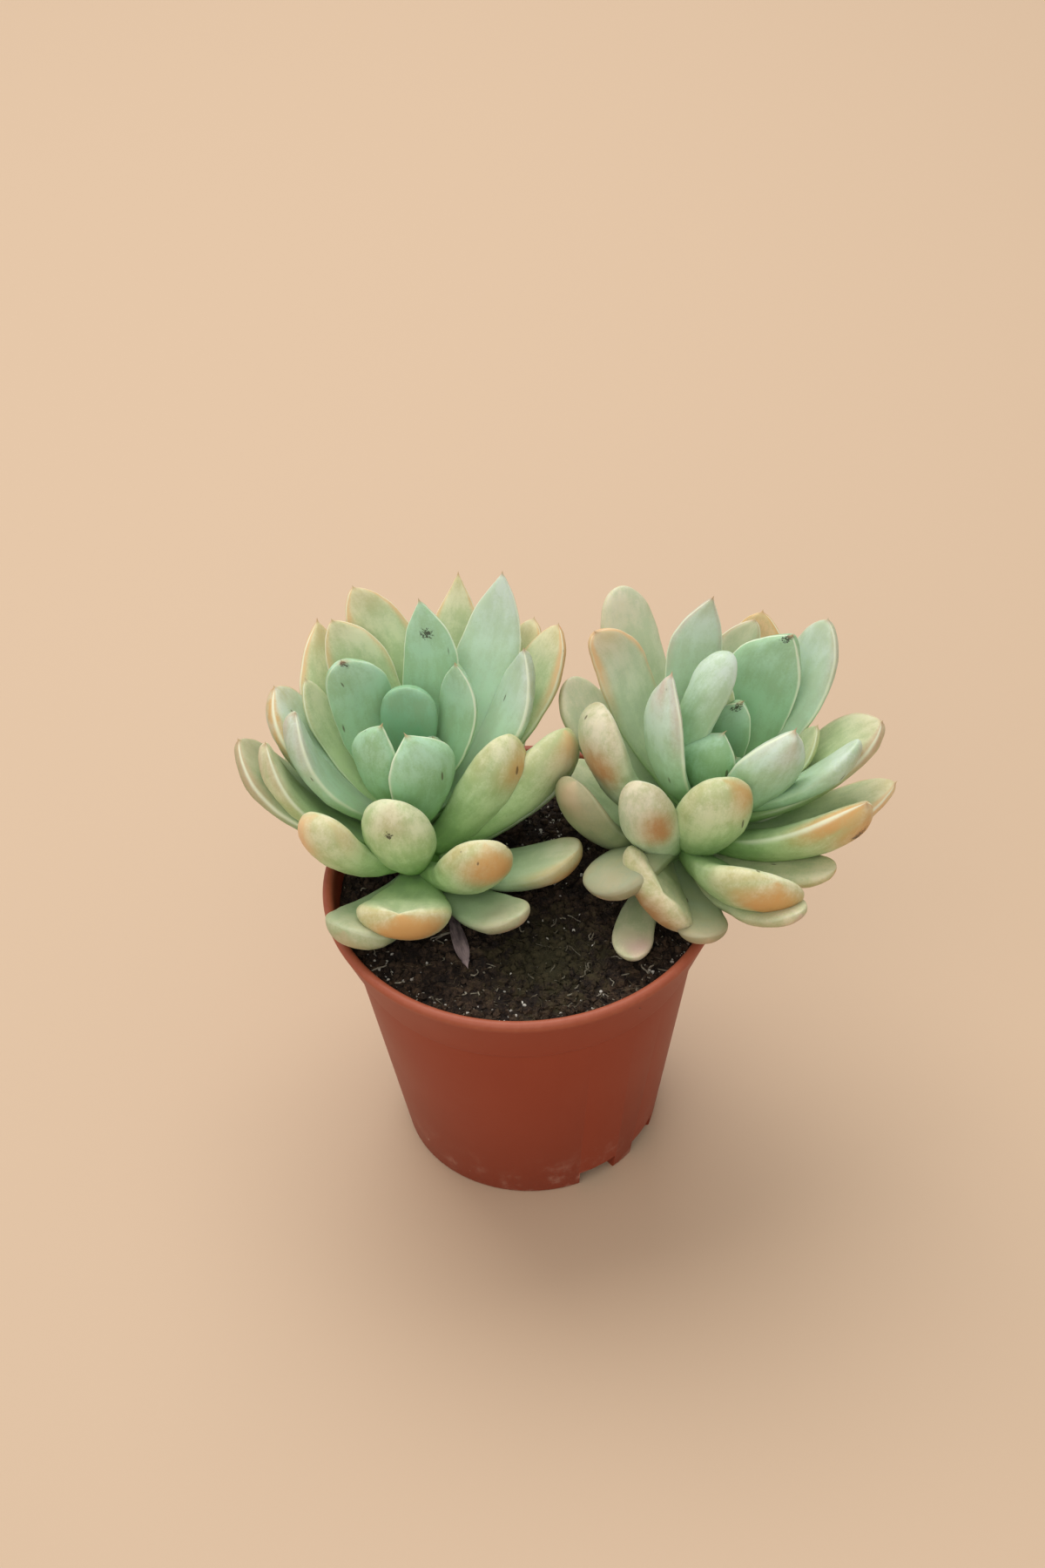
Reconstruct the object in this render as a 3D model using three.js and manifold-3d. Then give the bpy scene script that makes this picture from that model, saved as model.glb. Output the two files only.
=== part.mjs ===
// Two rosettes of pachyveria clavata in a small round plastic nursery pot.
// Millimetres, +Z up. The origin is the middle of the pot's flat underside, and the plants'
// viewer stands at -Y.
import * as THREE from 'three';
import { mergeVertices } from 'three/addons/utils/BufferGeometryUtils.js';
import Module from 'manifold-3d';

const wasm = await Module();
wasm.setup();

// Driving dimensions of the pot
const POT_HEIGHT = 62.7;
const RIM_RADIUS = 37.5;
const BASE_RADIUS = 25.4;
const COLLAR_HEIGHT = 13;
const COLLAR_RADIUS = 33.3;
const COLLAR_LEDGE = 0.5;
const WALL = 1.1;
const FLOOR = 1.6;
const POT_SIDES = 48;

// Drainage pockets round the base edge, the same pair on two opposite sides
const POCKET_STARTS = [-70, -41, 110, 139];
const POCKET_SPAN = 18;
const POCKET_DEPTH = 5;
const POCKET_HEIGHT = 4;
const DRAIN_RADIUS = 1.5;

// Driving dimensions of the filling and the stems
const GAP = 0.3;
const SOIL_DEPTH = 4.4;
const SOIL_RELIEF = 0.3;
const SOIL_SIDES = 36;
const STEM_FOOT = 51.2;
const STEM_RADIUS = 3.3;
const STEM_SIDES = 12;

// Driving dimensions of a leaf: its section is flatter above than below
const LEAF_SIDES = 8;
const LEAF_STATIONS = [0, 0.2, 0.4, 0.58, 0.74, 0.87, 0.96];
const LEAF_THICKNESS_SHARE = 0.44;
const LEAF_CURL = 45;
const UPPER_BULGE = 0.5;
const LOWER_BULGE = 1.3;
const NECK = 0.42;
const BLADE_BASE_THICKNESS = 0.55;

// Outlines of the blades: fullness and sharpness of the end, where along its length a leaf is
// widest, and sharpness of its upper edges
const KITE = { full: 2.4, sharp: 0.98, widest: 0.6, edge: 0.9 };
const PLAIN = { full: 2.4, sharp: 0.72, widest: 0.66, edge: 0.8 };
const ROUND = { full: 2.2, sharp: 0.52, widest: 0.72, edge: 0.5 };
const DISC = { full: 2.1, sharp: 0.5, widest: 0.6, edge: 0.5 };

// A crown is the stem's top, from its lowest leaf to its heart. Each leaf has its share of the
// crown's height, azimuth, mean lift, length, greatest width, outline, and what else sets it
// apart: its whole upward curl, its turn sideways, its roll, its thickness, and how far its tip
// is set to one side, as a share of its half width.
const LEFT_CROWN = {
  foot: [-19, 3, 62],
  heart: [-20.5, 8.5, 76],
  leaves: [
    [1, -160, 80, 10, 5, PLAIN],
    [0.95, 30, 72, 14, 7, PLAIN],
    [0.95, 82, 77, 23, 10.8, ROUND, { curl: 30 }],
    [0.9, -150, 81, 24, 10.5, KITE, { curl: 35, roll: 20, skew: 0.3 }],
    [0.8, -58, 84, 24, 13.5, KITE, { curl: 35, skew: -0.3 }],
    [0.9, 40, 70, 31, 9, KITE, { curl: 55, sway: 35 }],
    [0.9, 129.5, 69, 31.5, 11.5, ROUND, { curl: 60, roll: -15, skew: 0.3 }],
    [0.8, 26, 52, 39, 12, KITE, { curl: 65, roll: -5 }],
    [0.9, 76, 61, 38.5, 10.8, KITE, { curl: 40, sway: 25, skew: 0.35 }],
    [0.7, 172, 55, 33, 12, PLAIN, { curl: 75, roll: 20 }],
    [0.85, 54, 50, 47, 12, KITE, { sway: 20, roll: 10 }],
    [0.4, 7, 58, 29, 13, DISC, { roll: -65, thickness: 8 }],
    [0.3, -106, 71, 23.8, 14, DISC, { curl: 30, thickness: 8 }],
    [0.8, 116, 51, 38.5, 12, PLAIN, { sway: 25, roll: -15, skew: 0.45 }],
    [0.4, 11, 40, 35.5, 13.5, ROUND, { curl: 55, roll: -60, thickness: 7.5 }],
    [0.3, -148, 50, 27.5, 12.5, ROUND, { curl: 60, roll: 25, thickness: 7, skew: 0.1 }],
    [0.6, 150, 43, 36, 15, PLAIN, { roll: 15 }],
    [0.7, 104, 48, 45.5, 13, PLAIN, { sway: 35, skew: 0.5 }],
    [0.6, 76, 38, 49, 11.5, KITE, { sway: 15 }],
    [0.7, 35, 41.5, 45, 12, PLAIN],
    [0.6, 48, 39, 44.5, 11.5, PLAIN],
    [0.55, 123, 41, 43, 14, KITE, { skew: -0.3 }],
    [0.65, 143, 50, 33, 7, PLAIN],
    [0.4, 173, 45, 36, 11, PLAIN, { curl: 80, roll: 20 }],
    [0.35, 163, 33, 38, 14, PLAIN, { curl: 60, roll: 10 }],
    [0.2, -50, 47, 26, 13, ROUND, { curl: 65, roll: -35, thickness: 7 }],
    [0.15, -16, 19, 30, 13.5, ROUND, { curl: 40, roll: -10 }],
    [0.1, -97, 29, 24.5, 17, ROUND, { curl: 40, thickness: 7.5 }],
    [0.05, -119, 20, 25.5, 13.5, ROUND],
    [0.1, -50, 17, 27.5, 10.5, ROUND],
    [0.4, 152, 40, 18, 3.6, PLAIN, { curl: 10, roll: 40 }],
    [0.2, 30, 20, 36, 12, PLAIN, { curl: 30 }],
    [0.25, 57, 17, 35, 12, PLAIN, { curl: 35 }],
    [0.3, 90, 24, 37, 12.5, PLAIN, { curl: 35 }],
    [0.25, 114, 23, 35, 12, PLAIN, { curl: 35 }],
    [0.2, 139, 21, 32, 11.5, PLAIN, { curl: 35 }],
  ],
};
const RIGHT_CROWN = {
  foot: [27, 3.5, 62],
  heart: [37.5, 8, 76],
  leaves: [
    [1, -49, 78, 10, 4.5, PLAIN],
    [0.95, 71, 82, 19, 10, KITE, { curl: 30, skew: -0.6 }],
    [0.9, -122, 86, 19, 11.5, KITE, { curl: 30, skew: 0.5 }],
    [0.8, -35, 63, 27, 13, KITE, { curl: 40, roll: -45, thickness: 6.5, skew: 0.4 }],
    [0.9, 186, 99, 33, 9, ROUND, { curl: 60, sway: 70, thickness: 6.5 }],
    [0.8, 205, 80.5, 34, 12, KITE, { curl: 55, skew: -0.3 }],
    [0.85, 40, 65, 35.5, 15, KITE, { sway: -45, roll: 25, skew: -0.6 }],
    [0.8, -15, 38, 32, 10.5, ROUND, { roll: -15 }],
    [0.4, -70, 66, 27, 14.6, DISC, { curl: 25, roll: -10, thickness: 9 }],
    [0.3, -125, 66, 27.8, 11.5, DISC, { curl: 30, roll: 10, thickness: 8.5 }],
    [0.5, 174, 64, 32.5, 14, ROUND, { curl: 60, roll: 28, thickness: 7.5 }],
    [0.7, 138, 61.5, 40.5, 12, PLAIN, { roll: -5, skew: 0.8 }],
    [0.75, 93, 73, 41, 10.5, KITE, { curl: 40, sway: -25, skew: -0.6 }],
    [0.75, 33, 51, 41, 12.3, PLAIN],
    [0.6, 8, 34, 38, 15, PLAIN, { roll: -5, skew: -0.5 }],
    [0.4, -22, 29, 36, 16, PLAIN, { curl: 50, roll: -35, thickness: 7.5 }],
    [0.35, 4, 13, 38.5, 12.5, PLAIN, { curl: 40, roll: -10 }],
    [0.65, 116, 49, 44.5, 12, ROUND],
    [0.7, 70, 57, 36, 12.5, PLAIN, { skew: -0.6 }],
    [0.6, 62, 45, 39, 13, KITE],
    [0.5, 141, 40, 34.6, 11.5, ROUND],
    [0.3, -170, 48, 27.5, 13, ROUND, { curl: 80, roll: 30 }],
    [0.5, -133, 10, 26, 13.5, ROUND, { curl: -60, roll: 20 }],
    [0.15, -102, 32, 22.5, 19, ROUND, { roll: -46, thickness: 7, skew: 0.2 }],
    [0.08, -107, 2, 26, 7.6, ROUND, { curl: 30, sway: 40 }],
    [0.2, -83, 11, 27, 9.5, ROUND, { curl: 35 }],
    [0.3, -63, 29, 33.5, 17, ROUND, { roll: -38, thickness: 7.5 }],
    [0.15, -57, 21, 36, 10, ROUND, { curl: 35 }],
    [0.3, -32, 13, 29.5, 9, ROUND, { curl: 35 }],
    [0.5, 10, 43, 29, 8, PLAIN],
    [0.8, 82, 84, 28, 8, PLAIN],
    [0.2, 26, 22, 34, 12, PLAIN, { curl: 30 }],
    [0.25, 54, 24, 35, 12, PLAIN, { curl: 35 }],
    [0.25, 82, 26, 35, 12, PLAIN, { curl: 35 }],
    [0.25, 110, 26, 34, 12, PLAIN, { curl: 35 }],
    [0.2, 130, 5, 27, 12, PLAIN, { curl: 30 }],
  ],
};

// A withered leaf that dropped on the soil in front of the left stem
const WITHERED_ROOT = [-13.6, -5.5, 59.3];
const WITHERED_LEAF = { azimuth: -78, lift: 1, length: 14, width: 2.8, curl: -8, thickness: 1.2 };

const radians = THREE.MathUtils.degToRad;

// Joins equal corners and drops empty triangles, so that the mesh is a closed solid
function toSolid(geometry) {
  const bare = geometry.clone();
  bare.deleteAttribute('normal');
  bare.deleteAttribute('uv');
  const merged = mergeVertices(bare, 1e-3);
  const index = merged.index.array;
  const corners = [];
  for (let i = 0; i < index.length; i += 3) {
    const [a, b, c] = index.slice(i, i + 3);
    if (a !== b && b !== c && c !== a) corners.push(a, b, c);
  }
  return new wasm.Manifold(new wasm.Mesh({
    numProp: 3,
    vertProperties: new Float32Array(merged.attributes.position.array),
    triVerts: new Uint32Array(corners),
  }));
}

// The solid's largest body, which leaves out scraps and sealed hollows
function toGeometry(solid) {
  const bodies = solid.decompose().sort((a, b) => b.volume() - a.volume());
  const mesh = bodies[0].getMesh();
  const geometry = new THREE.BufferGeometry();
  geometry.setAttribute('position', new THREE.BufferAttribute(mesh.vertProperties, 3));
  geometry.setIndex(new THREE.BufferAttribute(mesh.triVerts, 1));
  geometry.computeVertexNormals();
  return geometry;
}

function namedMesh(name, geometry, color, roughness) {
  const material = new THREE.MeshStandardMaterial({ color, roughness, metalness: 0 });
  const mesh = new THREE.Mesh(geometry, material);
  mesh.name = name;
  return mesh;
}

function lathe(profile, sides) {
  const points = profile.map(([radius, z]) => new THREE.Vector2(radius, z));
  return new THREE.LatheGeometry(points, sides).rotateX(Math.PI / 2);
}

function cylinder(radius, bottom, top, [x, y], sides) {
  const geometry = new THREE.CylinderGeometry(radius, radius, top - bottom, sides);
  return geometry.rotateX(Math.PI / 2).translate(x, y, (bottom + top) / 2);
}

// Closes a tube of rings that share one number of corners; a tip point ends it, or a flat end
function loft(rings, tip) {
  const sides = rings[0].length;
  const points = rings.flat();
  const corners = [];
  for (let j = 1; j < sides - 1; j += 1) corners.push(0, j + 1, j);
  for (let i = 0; i < rings.length - 1; i += 1) {
    for (let j = 0; j < sides; j += 1) {
      const a = i * sides + j;
      const b = i * sides + (j + 1) % sides;
      corners.push(a, b, b + sides, a, b + sides, a + sides);
    }
  }
  const last = (rings.length - 1) * sides;
  if (tip) {
    points.push(tip);
    for (let j = 0; j < sides; j += 1) {
      corners.push(last + j, last + (j + 1) % sides, points.length - 1);
    }
  } else {
    for (let j = 1; j < sides - 1; j += 1) corners.push(last, last + j, last + j + 1);
  }
  const geometry = new THREE.BufferGeometry().setFromPoints(points);
  geometry.setIndex(corners);
  return geometry;
}

// Shares of the greatest half width and half thickness at a station along the leaf
function bladeShares(station, { full, sharp, widest }) {
  if (station < widest) {
    const rise = Math.sin((Math.PI / 2) * (station / widest));
    return [NECK + (1 - NECK) * rise ** 1.3, BLADE_BASE_THICKNESS + (1 - BLADE_BASE_THICKNESS) * rise];
  }
  const end = (station - widest) / (1 - widest);
  return [(1 - end ** full) ** sharp, Math.sqrt(1 - end ** 2.4)];
}

// Height of a leaf's section at an angle round it, as a share of its half thickness
function sectionHeight(turn, edge) {
  if (Math.sin(turn) <= 0) return LOWER_BULGE * Math.sin(turn);
  return UPPER_BULGE * (1 - Math.cos(turn) ** 4) ** edge;
}

// A fleshy leaf from its root, bent along its midrib
function leafGeometry(root, leaf, outline) {
  const curl = leaf.curl ?? LEAF_CURL;
  const sway = leaf.sway ?? 0;
  const roll = radians(leaf.roll ?? 0);
  const skew = leaf.skew ?? 0;
  const thickness = leaf.thickness ?? LEAF_THICKNESS_SHARE * leaf.width;
  const frameAt = (station) => {
    const lift = radians(leaf.lift + curl * (station - 0.5));
    const azimuth = radians(leaf.azimuth + sway * (station - 0.5));
    const along = new THREE.Vector3(
      Math.cos(lift) * Math.cos(azimuth), Math.cos(lift) * Math.sin(azimuth), Math.sin(lift),
    );
    const side = new THREE.Vector3(-Math.sin(azimuth), Math.cos(azimuth), 0);
    const face = new THREE.Vector3().crossVectors(along, side);
    return {
      along,
      side: side.clone().multiplyScalar(Math.cos(roll)).addScaledVector(face, Math.sin(roll)),
      face: face.clone().multiplyScalar(Math.cos(roll)).addScaledVector(side, -Math.sin(roll)),
    };
  };
  const middle = root.clone();
  const rings = [];
  const stations = [...LEAF_STATIONS, 1];
  stations.forEach((station, i) => {
    if (i > 0) {
      const step = station - stations[i - 1];
      middle.addScaledVector(frameAt(station - step / 2).along, step * leaf.length);
    }
    const { side, face } = frameAt(station);
    const shift = skew * Math.max(0, (station - outline.widest) / (1 - outline.widest)) ** 2;
    if (station === 1) {
      middle.addScaledVector(side, (leaf.width / 2) * shift);
      return;
    }
    const [widthShare, thicknessShare] = bladeShares(station, outline);
    rings.push(Array.from({ length: LEAF_SIDES }, (_, j) => {
      const turn = (2 * Math.PI * j) / LEAF_SIDES;
      return middle.clone()
        .addScaledVector(side, (leaf.width / 2) * (widthShare * Math.cos(turn) + shift))
        .addScaledVector(face, (thickness / 2) * thicknessShare * sectionHeight(turn, outline.edge));
    }));
  });
  return loft(rings, middle);
}

// The stem rises straight out of the soil, then leans with the crown
function stemGeometry(foot, heart) {
  const ground = new THREE.Vector3(foot.x, foot.y, STEM_FOOT);
  const stations = [
    [ground, STEM_RADIUS],
    [new THREE.Vector3(foot.x, foot.y, foot.z - 3), STEM_RADIUS],
    [foot, STEM_RADIUS * 1.25],
    [foot.clone().lerp(heart, 0.5), STEM_RADIUS * 1.15],
    [heart, STEM_RADIUS * 0.8],
    [foot.clone().lerp(heart, 1.1), STEM_RADIUS * 0.4],
  ];
  return loft(stations.map(([middle, radius]) => Array.from({ length: STEM_SIDES }, (_, j) => {
    const turn = (2 * Math.PI * j) / STEM_SIDES;
    return new THREE.Vector3(radius * Math.cos(turn), radius * Math.sin(turn), 0).add(middle);
  })));
}

// Stem and leaves grown together
function rosetteGeometry(crown) {
  const foot = new THREE.Vector3(...crown.foot);
  const heart = new THREE.Vector3(...crown.heart);
  let solid = toSolid(stemGeometry(foot, heart));
  for (const [share, azimuth, lift, length, width, outline, more = {}] of crown.leaves) {
    const inset = 3.4 - 1.8 * share;
    const root = foot.clone().lerp(heart, share);
    root.x += inset * Math.cos(radians(azimuth));
    root.y += inset * Math.sin(radians(azimuth));
    const leaf = { azimuth, lift, length, width, ...more };
    solid = solid.add(toSolid(leafGeometry(root, leaf, outline)));
  }
  return toGeometry(solid);
}

// The pot's heights and radii, from the base up
const collarFoot = POT_HEIGHT - COLLAR_HEIGHT;
const collarInner = COLLAR_RADIUS - WALL;
const bodyInner = COLLAR_RADIUS - COLLAR_LEDGE - WALL;
const rimInner = RIM_RADIUS - 2;
const baseInner = BASE_RADIUS - WALL + 0.2;
const pocketInner = BASE_RADIUS - POCKET_DEPTH;
const soilTop = POT_HEIGHT - SOIL_DEPTH;

// One pocket's plan, a ring sector that is larger by a margin all round, from bottom to top
function pocketSector(start, margin, bottom, top, outer) {
  const inner = pocketInner - margin;
  const spread = margin / pocketInner;
  const from = radians(start) - spread;
  const to = radians(start + POCKET_SPAN) + spread;
  const plan = new THREE.Shape();
  plan.absarc(0, 0, outer, from, to, false);
  plan.absarc(0, 0, inner, to, from, true);
  plan.closePath();
  const options = { depth: top - bottom, bevelEnabled: false, curveSegments: 5 };
  return new THREE.ExtrudeGeometry(plan, options).translate(0, 0, bottom);
}

function potGeometry() {
  const profile = [
    [0, 0], [BASE_RADIUS - 0.4, 0], [BASE_RADIUS, 0.4],
    [COLLAR_RADIUS - COLLAR_LEDGE, collarFoot - 0.3], [COLLAR_RADIUS, collarFoot],
    [RIM_RADIUS - 1.2, POT_HEIGHT - 1.9], [RIM_RADIUS - 0.2, POT_HEIGHT - 1.4],
    [RIM_RADIUS, POT_HEIGHT - 0.8], [RIM_RADIUS - 0.3, POT_HEIGHT - 0.2],
    [RIM_RADIUS - 0.9, POT_HEIGHT], [rimInner + 0.5, POT_HEIGHT - 0.2], [rimInner, POT_HEIGHT - 0.8],
    [rimInner - 0.3, POT_HEIGHT - 2.2], [collarInner, collarFoot + 0.2],
    [bodyInner, collarFoot - 0.6], [baseInner, FLOOR], [0, FLOOR],
  ];
  const shell = toSolid(lathe(profile, POT_SIDES));
  let solid = shell;
  for (const start of POCKET_STARTS) {
    const box = toSolid(pocketSector(start, WALL, FLOOR - 0.5, POCKET_HEIGHT + WALL, BASE_RADIUS - 0.5));
    solid = solid.add(box);
  }
  for (const start of POCKET_STARTS) {
    solid = solid.subtract(toSolid(pocketSector(start, 0, -1, POCKET_HEIGHT, BASE_RADIUS + 5)));
    const middle = radians(start + POCKET_SPAN / 2);
    const drainRing = pocketInner + POCKET_DEPTH * 0.42;
    const at = [drainRing * Math.cos(middle), drainRing * Math.sin(middle)];
    solid = solid.subtract(toSolid(cylinder(DRAIN_RADIUS, 1, POCKET_HEIGHT + 3, at, 16)));
  }
  return toGeometry(solid);
}

// Height of the soil's surface above its level
function soilRelief(x, y) {
  const broad = Math.sin(0.23 * x + 1.1) * Math.cos(0.27 * y - 0.5);
  const fine = Math.sin(0.7 * y + 0.4 * x) * Math.cos(0.6 * x);
  return SOIL_RELIEF * (0.7 * broad + 0.3 * fine);
}

function soilGeometry() {
  const slope = (rimInner - 0.3 - collarInner) / (COLLAR_HEIGHT - 2.4);
  const edge = collarInner + slope * (soilTop - collarFoot - 0.2) - GAP;
  const rings = [0.86, 0.7, 0.54, 0.38, 0.2, 0];
  const profile = [
    [0, FLOOR + GAP], [baseInner - GAP, FLOOR + GAP], [bodyInner - GAP, collarFoot - 0.6],
    [collarInner - GAP, collarFoot + 0.2 + GAP], [edge, soilTop],
    ...rings.map((share) => [edge * share, soilTop]),
  ];
  const ground = lathe(profile, SOIL_SIDES);
  const place = ground.attributes.position;
  for (let i = 0; i < place.count; i += 1) {
    const [x, y, z] = [place.getX(i), place.getY(i), place.getZ(i)];
    if (z > soilTop - 0.1 && Math.hypot(x, y) < edge - 0.1) place.setZ(i, z + soilRelief(x, y));
  }
  let solid = toSolid(ground);
  for (const { foot } of [LEFT_CROWN, RIGHT_CROWN]) {
    const hole = cylinder(STEM_RADIUS + GAP, STEM_FOOT - GAP, soilTop + 3, foot, STEM_SIDES);
    solid = solid.subtract(toSolid(hole));
  }
  for (const start of POCKET_STARTS) {
    const top = POCKET_HEIGHT + WALL + GAP;
    solid = solid.subtract(toSolid(pocketSector(start, WALL + GAP, 0, top, BASE_RADIUS + 5)));
  }
  return toGeometry(solid);
}

function witheredGeometry() {
  const root = new THREE.Vector3(...WITHERED_ROOT);
  return toGeometry(toSolid(leafGeometry(root, WITHERED_LEAF, KITE)));
}

const plant = new THREE.Group();
plant.add(namedMesh('pot', potGeometry(), 0x91412a, 0.45));
plant.add(namedMesh('soil', soilGeometry(), 0x2b221d, 0.95));
plant.add(namedMesh('rosette_left', rosetteGeometry(LEFT_CROWN), 0x9dbd92, 0.5));
plant.add(namedMesh('rosette_right', rosetteGeometry(RIGHT_CROWN), 0xa3bd8c, 0.5));
plant.add(namedMesh('withered_leaf', witheredGeometry(), 0xc2a79c, 0.8));

export default plant;
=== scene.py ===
"""Two rosettes of pachyveria clavata in a small round plastic nursery pot.

Sizes are in millimetres, and each mesh is scaled to metres when it is made. The origin is the
middle of the pot's flat underside, +Z is up, and the viewer stands at -Y.
"""
import logging
import math
from dataclasses import dataclass
from enum import Enum
from typing import Any, ClassVar, Iterable, Sequence

import bpy
from mathutils import Matrix, Vector, noise


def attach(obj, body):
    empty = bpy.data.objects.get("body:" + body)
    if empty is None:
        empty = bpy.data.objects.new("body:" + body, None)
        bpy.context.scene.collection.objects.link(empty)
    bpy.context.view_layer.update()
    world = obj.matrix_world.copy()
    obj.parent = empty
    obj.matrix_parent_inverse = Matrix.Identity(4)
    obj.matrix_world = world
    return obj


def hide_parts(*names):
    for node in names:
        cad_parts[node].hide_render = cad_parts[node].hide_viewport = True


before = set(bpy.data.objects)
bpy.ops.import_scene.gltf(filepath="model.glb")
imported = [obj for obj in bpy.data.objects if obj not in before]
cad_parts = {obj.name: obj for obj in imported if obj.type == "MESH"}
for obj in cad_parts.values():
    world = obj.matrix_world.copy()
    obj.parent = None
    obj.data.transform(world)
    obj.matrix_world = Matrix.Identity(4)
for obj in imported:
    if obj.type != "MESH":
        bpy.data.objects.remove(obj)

log = logging.getLogger("potted_plant")

MILLIMETRE = 0.001
WHOLE_TURN = 6.28
FAR_FROM_SCAR = (9.0, 9.0, 0.0)

Point = tuple[float, float, float]
Colour = tuple[float, float, float, float]


def linear(code: str) -> Colour:
    """Turns a colour code into linear light.

    Args:
        code: Six hexadecimal digits, two each for red, green and blue.

    Returns:
        Linear red, green, blue and an alpha of 1.
    """
    parts = [int(code[i:i + 2], 16) / 255 for i in (0, 2, 4)]
    red, green, blue = (c / 12.92 if c <= 0.04045 else ((c + 0.055) / 1.055) ** 2.4 for c in parts)
    return red, green, blue, 1.0


def between(low: float, high: float, value: float) -> float:
    """Smooth step from 0 at low to 1 at high.

    Args:
        low: Value at which the step starts.
        high: Value at which the step ends.
        value: Value to place on the step.

    Returns:
        A share from 0 to 1.
    """
    t = min(1.0, max(0.0, (value - low) / (high - low)))
    return t * t * (3 - 2 * t)


def mixed(first: Sequence[float], second: Sequence[float], share: float) -> tuple[float, ...]:
    """Mixes two rows of numbers.

    Args:
        first: Numbers at share 0.
        second: Numbers at share 1.
        share: Share of the second row.

    Returns:
        The mixed numbers.
    """
    return tuple(a + (b - a) * share for a, b in zip(first, second))


# Node trees


class Channel:
    """A socket in a node tree that adds a Math node for each sum it is used in."""

    def __init__(self, graph: "Graph", socket: bpy.types.NodeSocket) -> None:
        """Wraps a socket of a graph."""
        self.graph = graph
        self.socket = socket

    def math(self, operation: str, *others: "Channel | float") -> "Channel":
        """Adds one Math node.

        Args:
            operation: The Math node's operation.
            others: Further operands, after this one.

        Returns:
            The result.
        """
        return self.graph.math(operation, self, *others)

    def __add__(self, other: "Channel | float") -> "Channel":
        """Sum."""
        return self.math("ADD", other)

    __radd__ = __add__

    def __sub__(self, other: "Channel | float") -> "Channel":
        """Difference."""
        return self.math("SUBTRACT", other)

    def __rsub__(self, other: float) -> "Channel":
        """Difference from a number."""
        return self.graph.math("SUBTRACT", other, self)

    def __mul__(self, other: "Channel | float") -> "Channel":
        """Product."""
        return self.math("MULTIPLY", other)

    __rmul__ = __mul__

    def __truediv__(self, other: "Channel | float") -> "Channel":
        """Quotient."""
        return self.math("DIVIDE", other)

    def __pow__(self, other: float) -> "Channel":
        """Power."""
        return self.math("POWER", other)

    def step(self, low: float, high: float) -> "Channel":
        """Smooth step from 0 at low to 1 at high.

        Args:
            low: Value at which the step starts.
            high: Value at which the step ends.

        Returns:
            The step.
        """
        settings = {"interpolation_type": "SMOOTHSTEP"}
        inputs = {"Value": self, "From Min": low, "From Max": high}
        return self.graph.out("ShaderNodeMapRange", settings, inputs)


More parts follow.
